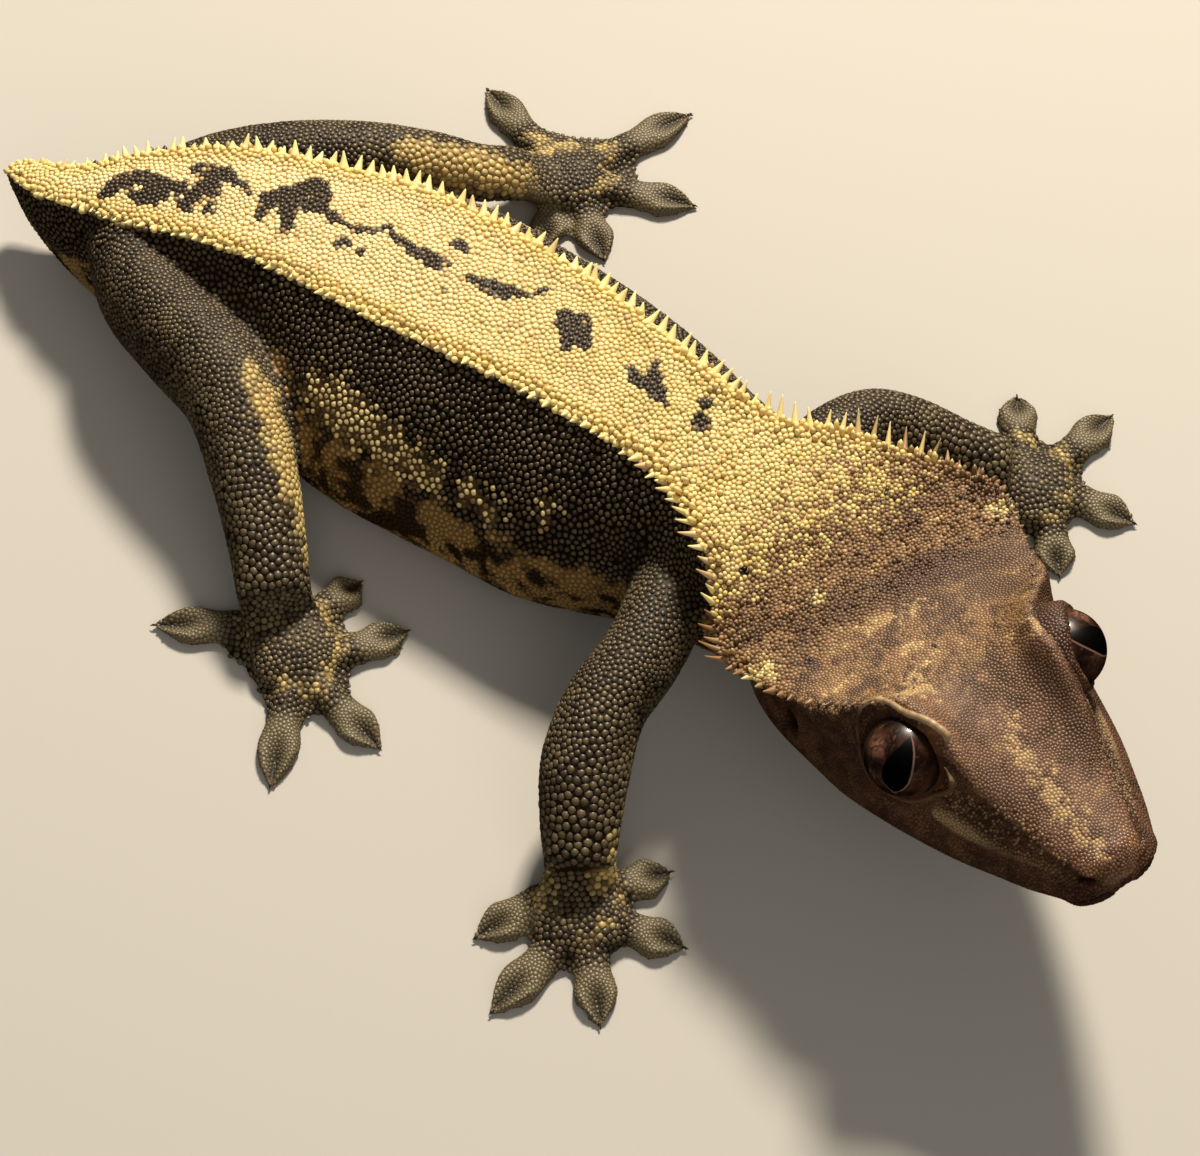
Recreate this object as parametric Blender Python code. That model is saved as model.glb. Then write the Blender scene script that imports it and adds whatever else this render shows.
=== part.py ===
# Crested gecko, life size, lying flat-bellied with its head raised and turned to its right.
# Lengths below are millimetres and angles are degrees; the finished meshes are in metres, +Z up.
# The head points to -Y, the animal's left side to +X, and the floor is the plane z = 0.

import math
import random

import bmesh
import bpy
import numpy as np
from mathutils import Matrix, Vector

MODEL_NAME = "crested_gecko"
MM = 0.001
# Gap between two nodes that meet, and the slightly wider one that a limb's root keeps to the body.
GAP = 0.3
SWELL = 0.36
# The middle of the animal's box on the floor, which becomes the model's origin.
ORIGIN = (3.7, 5.0)

# Spine of the body, from the tip of the tail stub to the nape. Each row gives the place of the
# section (y, x), then its half outline: back height; crest half width and height; flank half
# width and height; belly half width and height.
BODY = (
    (58.2, -0.4, 6.2, 0.5, 5.9, 0.7, 5.2, 0.4, 4.6),
    (56.4, -0.7, 7.6, 1.0, 7.1, 1.4, 5.6, 0.8, 3.8),
    (54.0, -1.1, 8.9, 1.5, 8.4, 2.1, 5.6, 1.3, 2.6),
    (50.5, -1.0, 10.4, 1.9, 9.9, 3.2, 5.6, 2.0, 1.2),
    (47.5, -0.1, 11.9, 2.7, 11.3, 4.6, 5.6, 3.2, 0.0),
    (44.0, 1.1, 13.1, 3.7, 12.5, 5.9, 5.6, 4.2, 0.0),
    (38.0, 3.2, 14.7, 4.7, 14.1, 7.6, 5.8, 5.6, 0.0),
    (32.0, 4.5, 15.7, 5.2, 15.1, 9.8, 5.9, 7.2, 0.0),
    (26.0, 5.5, 16.3, 5.9, 15.7, 12.3, 6.0, 8.8, 0.0),
    (20.0, 6.1, 16.7, 6.1, 16.1, 13.3, 6.0, 9.6, 0.0),
    (14.0, 6.4, 16.9, 5.8, 16.4, 13.1, 6.0, 9.4, 0.0),
    (8.0, 6.5, 17.1, 5.4, 16.6, 12.7, 6.2, 8.8, 0.0),
    (2.0, 6.1, 17.3, 4.9, 16.9, 12.0, 6.5, 7.8, 0.0),
    (-3.5, 5.5, 17.5, 4.6, 17.1, 10.2, 7.2, 6.0, 0.5),
    (-8.0, 4.8, 17.6, 5.2, 17.2, 9.0, 8.4, 4.6, 2.2),
    (-12.6, 4.3, 17.7, 7.6, 17.3, 8.8, 9.4, 4.4, 4.0),
)

# The belly lies nearer the right side than the back does: how far, for each row above.
LEAN = (0, 0, 0, 0, 0, 0.2, 0.6, 1.1, 1.5, 1.6, 1.6, 1.6, 1.5, 1.0, 0.4, 0)

# Head frame: the middle of the snout's upper front edge, and how the head is turned, raised
# and tilted.
SNOUT = (-7.8, -48.8, 21.5)
HEAD_YAW = 20.2
HEAD_PITCH = 7.3
HEAD_ROLL = 6.3

# Head sections, from the nape forward. Each row gives the distance behind the snout, then the
# half outline in the head frame: crown height; crest or brow half width and height; temple half
# width and height; upper lip half width and height; throat half width and height.
HEAD = (
    (34.0, 0.2, 10.1, -0.1, 8.8, -3.2, 9.0, -7.4, 5.2, -11.6),
    (30.6, 0.4, 11.6, 0.0, 9.4, -2.8, 9.8, -7.3, 5.6, -11.5),
    (28.0, 0.7, 11.2, 0.2, 9.3, -2.7, 10.1, -7.0, 5.9, -11.3),
    (25.0, 1.1, 10.2, 0.5, 9.0, -2.6, 10.0, -6.7, 6.0, -10.9),
    (21.5, 1.7, 8.2, 1.7, 8.5, -2.4, 9.7, -6.4, 5.8, -10.3),
    (18.0, 2.3, 5.6, 3.8, 8.0, -2.2, 9.1, -5.8, 5.4, -9.4),
    (14.5, 2.1, 5.2, 3.8, 6.9, -2.2, 8.2, -5.2, 4.9, -8.5),
    (11.0, 1.3, 4.7, 1.5, 5.6, -2.1, 7.1, -4.6, 4.2, -7.5),
    (8.0, 0.6, 3.8, -0.2, 4.5, -2.0, 5.9, -4.1, 3.5, -6.5),
    (5.6, 0.1, 3.1, -0.7, 3.7, -2.0, 4.9, -3.7, 2.8, -5.8),
    (3.4, -0.3, 2.4, -1.0, 2.9, -1.9, 3.8, -3.2, 2.1, -5.0),
)
SNOUT_TIP = 1.3
SNOUT_MIDDLE = -2.6
SNOUT_STEPS = (0.78, 0.5, 0.24, 0.07)

# Joints between the nodes of the trunk, as places along the rows above.
TAIL_JOINT = 3.4
PELVIS_JOINT = 6.5
TORSO_JOINT = 14.3
NECK_JOINT = 16.3
TRUNK_STEP = 0.5
TRUNK_ROWS = 14
HEAD_STEP = 0.6
HEAD_ROWS = 18

# Mouth: the line runs along the side of the head at this share of the half outline.
MOUTH_ROW = 4.42 / 7
MOUTH_HALF_WIDTH = 0.013
MOUTH_DEPTH = 0.4
MOUTH_CORNER = 22.0

# Eye: centre in the head frame (behind the snout, to the side, height), ball radius, and the
# direction it faces (forward, outward, up). The skin lies over it as a dome with a round opening.
EYE_CENTRE = (16.1, 6.5, 0.7)
EYE_RADIUS = 2.8
EYE_AIM = (0.36, 0.82, 0.46)
EYE_SKIN = 0.5
EYE_OPENING_ANGLE = 85.0
EYE_RIM_THICKNESS = 0.36

NOSTRIL = (3.4, 3.0, -1.7)
NOSTRIL_SIZE = (0.55, 0.7, 0.45)
EAR = (26.6, 9.6, -5.0)
EAR_SIZE = (0.6, 1.3, 1.3)

# Crest rows on the edge of the back: share of the half outline, and height of the low fold that
# carries the spines. Each row of SPINES gives the place along the trunk, in rows, then a spine's
# length, its radius at the root and the distance to the next.
CREST_ROW = 2 / 7
RIDGE = 0.25
SPINES = (
    (3.6, 0.8, 0.34, 1.3),
    (6.0, 0.95, 0.36, 1.5),
    (12.5, 1.05, 0.36, 1.5),
    (14.0, 1.3, 0.35, 1.25),
    (15.5, 1.65, 0.35, 1.1),
    (17.5, 1.6, 0.36, 1.1),
    (18.8, 1.1, 0.34, 1.1),
    (20.2, 0.6, 0.32, 1.2),
)
SPINE_ROOT = 0.5
SPINE_RISE = 0.45
SPINE_LEAN = 0.25
SPINE_SIDES = 5
SEED = 7
# How far a spine's root keeps from a joint, counted in rows along the trunk.
SPINE_MARGIN = 0.12

# Limbs: rows of x, y, z, half width and half height, from the root inside the body.
LIMBS = {
    "fore_right": (
        (3.0, -6.5, 9.8, 3.2, 3.5),
        (-3.4, -8.8, 10.2, 3.1, 3.4),
        (-8.4, -10.0, 10.0, 3.0, 3.3),
        (-12.7, -10.1, 9.1, 3.1, 3.3),
        (-16.3, -11.2, 7.5, 3.3, 3.2),
        (-19.2, -12.9, 5.6, 3.0, 2.8),
        (-21.4, -14.5, 3.9, 2.6, 2.2),
    ),
    "fore_left": (
        (6.0, -7.0, 9.5, 3.0, 3.2),
        (10.5, -9.6, 9.8, 3.0, 3.2),
        (14.9, -10.3, 9.8, 2.9, 3.1),
        (18.2, -11.3, 8.9, 2.8, 3.0),
        (20.6, -13.4, 7.2, 2.7, 2.8),
        (22.6, -16.3, 5.3, 2.4, 2.4),
        (24.2, -19.2, 3.8, 2.4, 2.0),
    ),
    "hind_right": (
        (0.6, 46.6, 7.4, 3.3, 4.2),
        (-4.4, 40.6, 8.0, 3.6, 4.6),
        (-6.2, 34.6, 8.4, 3.9, 4.8),
        (-7.8, 28.6, 8.4, 3.9, 4.6),
        (-11.4, 23.6, 7.2, 3.4, 3.9),
        (-14.8, 19.6, 5.4, 3.0, 3.2),
        (-17.5, 16.7, 3.9, 2.8, 2.3),
    ),
    "hind_left": (
        (1.5, 47.0, 6.2, 3.2, 3.6),
        (8.0, 44.4, 6.4, 3.2, 3.7),
        (12.4, 40.4, 6.8, 3.2, 3.7),
        (16.2, 35.8, 7.0, 3.0, 3.3),
        (19.4, 31.9, 6.3, 2.6, 2.8),
        (21.8, 29.0, 5.0, 2.4, 2.4),
        (24.4, 27.0, 3.8, 2.4, 2.0),
    ),
}
# Where each limb is parted, as a place along its rows, the names of its lengths, and the
# stretch of the trunk, in rows, that it lies against.
LIMB_JOINT = 3.0
LIMB_TRUNK = {"fore": (10, 16), "hind": (2, 10)}
LIMB_NODES = {"fore": ("upper_arm", "forearm", "hand"), "hind": ("thigh", "shank", "foot")}
LIMB_STEP = 0.5
LIMB_SIDES = 12

# Feet: the middle of the sole, then the base and the tip of each toe, outermost first.
SOLES = {
    "fore_right": (-23.4, -16.0),
    "fore_left": (25.6, -21.9),
    "hind_right": (-19.0, 13.8),
    "hind_left": (28.2, 24.8),
}
TOES = {
    "fore_right": (
        ((-23.8, -13.2), (-29.1, -11.1)),
        ((-25.6, -16.1), (-32.9, -15.5)),
        ((-25.0, -18.1), (-29.1, -22.1)),
        ((-22.3, -18.5), (-20.8, -23.3)),
        ((-20.4, -16.5), (-16.6, -19.0)),
    ),
    "fore_left": (
        ((28.8, -18.5), (32.7, -15.8)),
        ((29.7, -22.0), (35.6, -22.7)),
        ((27.2, -24.1), (28.2, -29.4)),
        ((24.0, -24.4), (20.8, -27.4)),
        ((23.0, -21.6), (18.6, -22.2)),
    ),
    "hind_right": (
        ((-19.3, 17.8), (-23.5, 23.8)),
        ((-22.0, 11.8), (-28.6, 8.1)),
        ((-20.4, 9.7), (-21.4, 3.8)),
        ((-17.1, 11.0), (-12.4, 8.4)),
        ((-14.9, 14.5), (-11.2, 13.9)),
    ),
    "hind_left": (
        ((29.7, 29.2), (32.2, 36.2)),
        ((32.7, 23.6), (40.2, 21.2)),
        ((29.8, 21.4), (32.7, 15.2)),
        ((27.1, 22.4), (23.9, 17.7)),
        ((26.1, 24.3), (22.0, 22.4)),
    ),
}
SOLE_RADIUS = 3.5
SOLE_THICKNESS = 2.7
# Sole sections: distance ahead of its middle, then shares of its radius and thickness.
SOLE_SECTIONS = ((-1.6, 0.86, 1.15), (0.6, 1.0, 1.0), (2.4, 0.8, 0.8), (3.3, 0.35, 0.5))
TOE_ROOT = 0.55
# Toe sections: share of the way from base to tip, half width, thickness. The first is the root.
TOE = (
    (-0.25, 1.3, 2.1),
    (0.1, 1.15, 1.8),
    (0.4, 1.2, 1.45),
    (0.62, 1.7, 1.2),
    (0.8, 1.7, 1.05),
    (0.93, 1.15, 0.85),
    (1.0, 0.35, 0.6),
)
CLAW_LENGTH = 0.6
CLAW_RADIUS = 0.25

COLOURS = {
    "back": (0.55, 0.44, 0.22),
    "flank": (0.075, 0.055, 0.035),
    "head": (0.26, 0.17, 0.10),
    "limb": (0.14, 0.125, 0.085),
    "eye": (0.10, 0.045, 0.03),
}


def smooth_rows(rows, places):
    """Points of a smooth curve through rows of values, at places counted in rows."""
    rows = np.asarray(rows, float)
    ends = np.concatenate([2 * rows[:1] - rows[1:2], rows, 2 * rows[-1:] - rows[-2:-1]])
    places = np.clip(np.asarray(places, float), 0, len(rows) - 1)
    start = np.minimum(places.astype(int), len(rows) - 2)
    part = (places - start).reshape((-1,) + (1,) * (rows.ndim - 1))
    before, here, there, after = (ends[start + step] for step in range(4))
    return 0.5 * (
        2 * here
        + (there - before) * part
        + (2 * before - 5 * here + 4 * there - after) * part**2
        + (3 * here - before - 3 * there + after) * part**3
    )


def half_outline(top, crest, crest_z, side, side_z, flank, flank_z, belly, belly_z, rows):
    """Half of a cross section, from the middle of the back to the middle of the belly."""
    low = (flank + belly) / 2 + 0.18 * (flank - belly)
    low_z = belly_z + 0.3 * (flank_z - belly_z)
    points = [
        (0.55 * crest, 0.7 * top + 0.3 * crest_z),
        (crest, crest_z),
        (side, side_z),
        (flank, flank_z),
        (low, low_z),
        (belly, belly_z),
    ]
    mirrored_top = (-points[0][0], points[0][1])
    mirrored_belly = (-belly, belly_z)
    line = [mirrored_top, (0, top), *points, (0, belly_z), mirrored_belly]
    curve = smooth_rows(line, 1 + np.asarray(rows) * 7)
    curve[:, 1] = np.maximum(curve[:, 1], belly_z)
    return curve


def ring_rows(count, extra=()):
    """Shares of the half outline at which a section has points, from back to belly."""
    shares = sorted(set(np.round(np.linspace(0, 1, count + 1), 6)) | set(extra))
    return np.array(shares)


def closed_ring(half):
    """Both sides of a section: down the left from the back, then up the right."""
    right = half[-2:0:-1] * (-1, 1)
    return np.concatenate([half, right])


def body_outline(row, rows):
    """Section of the body in its own upright plane."""
    top, crest, crest_z, flank, flank_z, belly, belly_z = row
    side = crest + 0.62 * (flank - crest)
    side_z = crest_z + 0.45 * (flank_z - crest_z)
    return half_outline(top, crest, crest_z, side, side_z, flank, flank_z, belly, belly_z, rows)


def head_axes():
    """Unit vectors of the head frame: backward along its axis, to its left, and up."""
    yaw = math.radians(HEAD_YAW)
    pitch = math.radians(HEAD_PITCH)
    back = (math.sin(yaw) * math.cos(pitch), math.cos(yaw) * math.cos(pitch), -math.sin(pitch))
    left = (math.cos(yaw), -math.sin(yaw), 0.0)
    up = (math.sin(yaw) * math.sin(pitch), math.cos(yaw) * math.sin(pitch), math.cos(pitch))
    left, up = np.array(left), np.array(up)
    roll = math.radians(HEAD_ROLL)
    tilted_left = left * math.cos(roll) + up * math.sin(roll)
    tilted_up = up * math.cos(roll) - left * math.sin(roll)
    return np.array([back, tilted_left, tilted_up])


def head_point(behind, side, height):
    """Place in the model of a point given in the head frame."""
    return np.array(SNOUT) + np.array([behind, side, height]) @ head_axes()


def trunk_rings(rows):
    """Sections of tail, body and head along one line, each a ring of points."""
    centres = np.array([(row[1], row[0]) for row in BODY])
    nape = head_point(HEAD[0][0], 0, 0)[:2]
    line = np.concatenate([2 * centres[:1] - centres[1:2], centres, [nape]])
    rings = []
    for place, row in enumerate(BODY):
        ahead = line[place + 2] - line[place]
        ahead = ahead / np.linalg.norm(ahead)
        left = np.array([-ahead[1], ahead[0], 0.0])
        outline = closed_ring(body_outline(row[2:], rows))
        depth = (row[4] - outline[:, 1]) / (row[4] - row[6])
        outline[:, 0] -= LEAN[place] * np.clip(depth, 0, 1)
        middle = np.array([row[1], row[0], 0.0])
        rings.append(middle + outline[:, :1] * left + outline[:, 1:] * np.array([0, 0, 1.0]))
    back, left, up = head_axes()
    head_outlines = [(row[0], closed_ring(half_outline(*row[1:], rows))) for row in HEAD]
    behind, last = head_outlines[-1]
    for share in SNOUT_STEPS:
        size = math.sqrt(1 - (1 - share) ** 2)
        small = (last - (0, SNOUT_MIDDLE)) * size + (0, SNOUT_MIDDLE)
        head_outlines.append((SNOUT_TIP + (behind - SNOUT_TIP) * share, small))
    for behind, outline in head_outlines:
        middle = np.array(SNOUT) + behind * back
        rings.append(middle + outline[:, :1] * left + outline[:, 1:] * up)
    return np.array(rings)


def surface_normals(grid):
    """Outward unit normals of a grid of rings."""
    along = np.gradient(grid, axis=0)
    around = np.roll(grid, -1, axis=1) - np.roll(grid, 1, axis=1)
    normals = np.cross(around, along)
    normals /= np.maximum(np.linalg.norm(normals, axis=2, keepdims=True), 1e-9)
    outward = grid - grid.mean(axis=1, keepdims=True)
    return normals * np.sign((normals * outward).sum(axis=(1, 2)))[:, None, None]


def shift_end(ring, neighbour, distance):
    """Move an end ring towards its neighbour along the line between their middles."""
    step = neighbour.mean(axis=0) - ring.mean(axis=0)
    return ring + step / np.linalg.norm(step) * distance


def trunk_grid(start, stop, rows, step=TRUNK_STEP):
    """Rings from one place along the trunk to another, drawn in by half a gap at each end."""
    rings = trunk_rings(rows)
    count = max(2, round((stop - start) / step) + 1)
    grid = smooth_rows(rings, np.linspace(start, stop, count))
    if start > 0:
        grid[0] = shift_end(grid[0], grid[1], GAP / 2)
    if stop < len(rings) - 1:
        grid[-1] = shift_end(grid[-1], grid[-2], GAP / 2)
    grid[:, :, 2] = np.maximum(grid[:, :, 2], 0.0)
    return grid


def loft(name, grid):
    """Closed mesh object through a grid of rings, with a fan of triangles on each end."""
    mesh = bmesh.new()
    rings = [[mesh.verts.new(Vector(point) * MM) for point in ring] for ring in grid]
    sides = len(rings[0])
    for first, second in zip(rings, rings[1:]):
        for place in range(sides):
            after = (place + 1) % sides
            mesh.faces.new((first[place], second[place], second[after], first[after]))
    for ring, points in ((rings[0], grid[0]), (rings[-1], grid[-1])):
        middle = mesh.verts.new(Vector(points.mean(axis=0)) * MM)
        for place in range(sides):
            mesh.faces.new((ring[place], ring[(place + 1) % sides], middle))
    bmesh.ops.recalc_face_normals(mesh, faces=mesh.faces)
    return mesh_object(name, mesh)


def mesh_object(name, mesh):
    """Object of a bmesh, in the collection of guides until it is kept."""
    data = bpy.data.meshes.new(name)
    mesh.to_mesh(data)
    mesh.free()
    obj = bpy.data.objects.new(name, data)
    guides.objects.link(obj)
    return obj


def ball(name, centre, radius, segments=20, rings=12):
    """Closed sphere, or an ellipsoid where three radii are given."""
    mesh = bmesh.new()
    bmesh.ops.create_uvsphere(mesh, u_segments=segments, v_segments=rings, radius=1.0)
    radii = Vector(radius) if hasattr(radius, "__len__") else Vector((radius,) * 3)
    bmesh.ops.scale(mesh, vec=radii * MM, verts=mesh.verts)
    bmesh.ops.translate(mesh, vec=Vector(centre) * MM, verts=mesh.verts)
    return mesh_object(name, mesh)


def keep_largest(obj):
    """Keep only the largest closed surface of an object's mesh."""
    mesh = bmesh.new()
    mesh.from_mesh(obj.data)
    mesh.verts.ensure_lookup_table()
    unseen = set(mesh.verts)
    shells = []
    while unseen:
        queue = [unseen.pop()]
        shell = []
        while queue:
            vertex = queue.pop()
            shell.append(vertex)
            for edge in vertex.link_edges:
                other = edge.other_vert(vertex)
                if other in unseen:
                    unseen.remove(other)
                    queue.append(other)
        shells.append(shell)
    shells.sort(key=len)
    for shell in shells[:-1]:
        bmesh.ops.delete(mesh, geom=shell, context="VERTS")
    mesh.to_mesh(obj.data)
    mesh.free()


def combine(obj, others, operation, solver="EXACT"):
    """Apply one Boolean of an object with a collection of closed meshes, which are then removed."""
    tools = bpy.data.collections.new(obj.name + "_tools")
    bpy.context.scene.collection.children.link(tools)
    for other in others:
        for home in list(other.users_collection):
            home.objects.unlink(other)
        tools.objects.link(other)
    boolean = obj.modifiers.new("combine", "BOOLEAN")
    boolean.operation = operation
    boolean.solver = solver
    boolean.operand_type = "COLLECTION"
    boolean.collection = tools
    graph = bpy.context.evaluated_depsgraph_get()
    result = bpy.data.meshes.new_from_object(obj.evaluated_get(graph))
    obj.modifiers.clear()
    obj.data = result
    for other in list(tools.objects):
        bpy.data.objects.remove(other)
    bpy.data.collections.remove(tools)
    keep_largest(obj)


def material(name, colour, roughness):
    """Principled finish of one colour."""
    finish = bpy.data.materials.get(name) or bpy.data.materials.new(name)
    finish.use_nodes = True
    shader = finish.node_tree.nodes["Principled BSDF"]
    shader.inputs["Base Color"].default_value = (*colour, 1.0)
    shader.inputs["Roughness"].default_value = roughness
    shader.inputs["Metallic"].default_value = 0.0
    finish.diffuse_color = (*colour, 1.0)
    return finish


def keep(obj, finish):
    """Finish an object: its material, its shading, and its place over the model's origin."""
    obj.data.materials.clear()
    obj.data.materials.append(finish)
    obj.data.transform(Matrix.Translation((-ORIGIN[0] * MM, -ORIGIN[1] * MM, 0)))
    obj.data.shade_smooth()
    obj.data.set_sharp_from_angle(angle=math.radians(50))
    guides.objects.unlink(obj)
    model.objects.link(obj)


def swollen_trunk(start, stop):
    """Stretch of the trunk with its skin moved out by one gap, for cutting what lies against it."""
    rows = ring_rows(2 * TRUNK_ROWS)
    rings = trunk_rings(rows)
    count = round(4 * (stop - start)) + 1
    grid = smooth_rows(rings, np.linspace(start, stop, count))
    return loft("trunk_guide", grid + surface_normals(grid) * SWELL)


def ridge(grid, rows):
    """Raise the crest rows of a grid of rings by the height of their spines."""
    place = int(np.argmin(np.abs(rows - CREST_ROW)))
    normals = surface_normals(grid)
    for side in (place, -place):
        grid[:, side] += normals[:, side] * RIDGE
    return grid


def crest_places(side):
    """Spines of one crest row, each with its place along the trunk, root, direction and sizes."""
    rows = ring_rows(7)
    row = int(np.argmin(np.abs(rows - CREST_ROW)))
    rings = trunk_rings(rows)
    places = np.arange(SPINES[0][0], SPINES[-1][0], 0.02)
    grid = smooth_rows(rings, places)
    edge = grid[:, row * side]
    middle = grid.mean(axis=1)
    travelled = np.concatenate([[0], np.cumsum(np.linalg.norm(np.diff(edge, axis=0), axis=1))])
    sizes = np.array(SPINES)
    draw = random.Random(SEED + side)
    spines = []
    reached = 0.0
    while reached < travelled[-1]:
        at = int(np.searchsorted(travelled, reached))
        place = places[at]
        length, radius, spacing = (np.interp(place, sizes[:, 0], column) for column in sizes[:, 1:].T)
        ahead = edge[min(at + 5, len(edge) - 1)] - edge[max(at - 5, 0)]
        ahead = ahead / np.linalg.norm(ahead)
        out = edge[at] - middle[at]
        out[2] = 0.0
        out -= ahead * (out @ ahead)
        out /= np.linalg.norm(out)
        rise = SPINE_RISE + draw.uniform(-0.15, 0.2)
        lean = SPINE_LEAN + draw.uniform(-0.25, 0.2)
        direction = out + np.array([0, 0, rise]) - ahead * lean
        direction /= np.linalg.norm(direction)
        spines.append((place, edge[at], direction, length * draw.uniform(0.75, 1.15), radius))
        reached += spacing * draw.uniform(0.85, 1.2)
    return spines


def spine(root, direction, length, radius):
    """One tapered spine with its root sunk in the skin and its tip bent a little upward."""
    direction = Vector(direction)
    turn = Vector((0, 0, 1)).rotation_difference(direction).to_matrix()
    grid = []
    for share, width in ((-SPINE_ROOT / length, 1.15), (0.5, 0.62), (1.0, 0.16)):
        middle = Vector(root) + direction * length * share + Vector((0, 0, 0.1 * length * share**2))
        ring = []
        for step in range(SPINE_SIDES):
            angle = 2 * math.pi * step / SPINE_SIDES
            spoke = turn @ Vector((math.cos(angle), math.sin(angle), 0))
            ring.append(middle + spoke * radius * width)
        grid.append(ring)
    return loft("spine", np.array(grid))


def crest_spines(start, stop):
    """Spines of both crest rows whose roots lie well between two places along the trunk."""
    spines = []
    for side in (-1, 1):
        row = crest_places(side)
        for place, root, direction, length, radius in row:
            if start <= place <= stop:
                spines.append(spine(root, direction, length, radius))
    return spines


def trunk_node(name, start, stop):
    """One length of the trunk, from tail to nape, with the spines that grow on it."""
    rows = ring_rows(TRUNK_ROWS)
    node = loft(name, ridge(trunk_grid(start, stop, rows), rows))
    spines = crest_spines(start + SPINE_MARGIN, stop - SPINE_MARGIN)
    if spines:
        combine(node, spines, "UNION")
    return node


def head_node():
    """Head with its mouth line, eye rims and sockets, nostrils and ear openings."""
    mouth = (MOUTH_ROW - MOUTH_HALF_WIDTH, MOUTH_ROW, MOUTH_ROW + MOUTH_HALF_WIDTH)
    rows = ring_rows(HEAD_ROWS, (CREST_ROW, *mouth))
    last = len(BODY) + len(HEAD) + len(SNOUT_STEPS) - 1
    grid = trunk_grid(NECK_JOINT, last, rows, HEAD_STEP)
    normals = surface_normals(grid)
    behind = ((grid.mean(axis=1) - np.array(SNOUT)) @ head_axes()[0])[:, None]
    place = int(np.argmin(np.abs(rows - MOUTH_ROW)))
    room = np.linalg.norm(grid[:, place] - grid[:, place + 1], axis=1)
    depth = np.minimum(MOUTH_DEPTH, 1.3 * room) * np.clip((MOUTH_CORNER - behind[:, 0]) / 2, 0, 1)
    for side in (place, -place):
        grid[:, side] -= normals[:, side] * depth[:, None]
    grid = ridge(grid, rows)
    for side in (-1, 1):
        centre = head_point(EYE_CENTRE[0], side * EYE_CENTRE[1], EYE_CENTRE[2])
        reach = grid - centre
        distance = np.linalg.norm(reach, axis=2, keepdims=True)
        least = EYE_RADIUS + GAP + EYE_SKIN
        grid = np.where(distance < least, centre + reach / distance * least, grid)
    head = loft("head", grid)
    combine(head, [eye_opening(side) for side in (-1, 1)], "DIFFERENCE", "MANIFOLD")
    fused = [eye_rim(side) for side in (-1, 1)]
    fused += crest_spines(NECK_JOINT + SPINE_MARGIN, last)
    combine(head, fused, "UNION", "MANIFOLD")
    cuts = []
    for side in (-1, 1):
        centre = head_point(EYE_CENTRE[0], side * EYE_CENTRE[1], EYE_CENTRE[2])
        cuts.append(ball("socket", centre, EYE_RADIUS + GAP))
        cuts.append(opening("nostril", NOSTRIL, NOSTRIL_SIZE, side, 20, 8))
        cuts.append(opening("ear", EAR, EAR_SIZE, side, -25, 10))
    combine(head, cuts, "DIFFERENCE", "MANIFOLD")
    return head


def head_matrix(place, side):
    """Frame at a point of the head: X back, Y to the given side, Z up."""
    back, left, up = (Vector(axis) for axis in head_axes())
    frame = Matrix((back, left * side, up)).transposed().to_4x4()
    frame.translation = Vector(head_point(place[0], side * place[1], place[2])) * MM
    return frame


def opening(name, place, size, side, lean, segments):
    """Small ellipsoid that cuts an opening in the side of the head."""
    hole = ball(name, (0, 0, 0), size, segments, 6)
    lean_matrix = Matrix.Rotation(math.radians(lean), 4, "Y")
    hole.data.transform(head_matrix(place, side) @ lean_matrix)
    if side < 0:
        hole.data.flip_normals()
    return hole


def eye_frame(side):
    """Frame at the centre of an eye, with Z along the way it faces and Y up."""
    frame = head_matrix(EYE_CENTRE, side)
    forward, out, up = EYE_AIM
    look = Vector((-forward, out, up)).normalized()
    across = Vector((0, 0, 1)).cross(look).normalized()
    return frame @ Matrix((across, look.cross(across), look)).transposed().to_4x4()


def eye_rim(side):
    """Fold of skin round an eye, a ring that is half sunk in the head and thicker on top."""
    mesh = bmesh.new()
    rounds, turns = 20, 5
    spread = math.radians(EYE_OPENING_ANGLE)
    radius = (EYE_RADIUS + GAP + 0.5 * EYE_SKIN) * math.sin(spread)
    out = (EYE_RADIUS + GAP + 0.5 * EYE_SKIN) * math.cos(spread)
    rings = []
    for step in range(rounds):
        angle = 2 * math.pi * step / rounds
        spoke = Vector((math.cos(angle), math.sin(angle), 0))
        thick = EYE_RIM_THICKNESS * (1 + 0.25 * math.sin(angle))
        ring = []
        for turn in range(turns):
            around = 2 * math.pi * turn / turns
            reach = spoke * (radius + thick * math.cos(around))
            height = Vector((0, 0, out + thick * math.sin(around)))
            ring.append(mesh.verts.new((reach + height) * MM))
        rings.append(ring)
    for step in range(rounds):
        first, second = rings[step], rings[(step + 1) % rounds]
        for turn in range(turns):
            after = (turn + 1) % turns
            mesh.faces.new((first[turn], second[turn], second[after], first[after]))
    bmesh.ops.transform(mesh, matrix=eye_frame(side), verts=mesh.verts)
    bmesh.ops.recalc_face_normals(mesh, faces=mesh.faces)
    return mesh_object("eye_rim", mesh)


def eye_opening(side):
    """Wide cone from the centre of an eye that opens the skin in front of it."""
    mesh = bmesh.new()
    depth = 2 * EYE_RADIUS
    slope = math.tan(math.radians(EYE_OPENING_ANGLE))
    bmesh.ops.create_cone(
        mesh,
        cap_ends=True,
        segments=24,
        radius1=0.1 * slope * depth * MM,
        radius2=slope * depth * MM,
        depth=0.9 * depth * MM,
    )
    bmesh.ops.translate(mesh, vec=Vector((0, 0, 0.55 * depth * MM)), verts=mesh.verts)
    bmesh.ops.transform(mesh, matrix=eye_frame(side), verts=mesh.verts)
    bmesh.ops.recalc_face_normals(mesh, faces=mesh.faces)
    return mesh_object("eye_opening", mesh)


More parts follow.
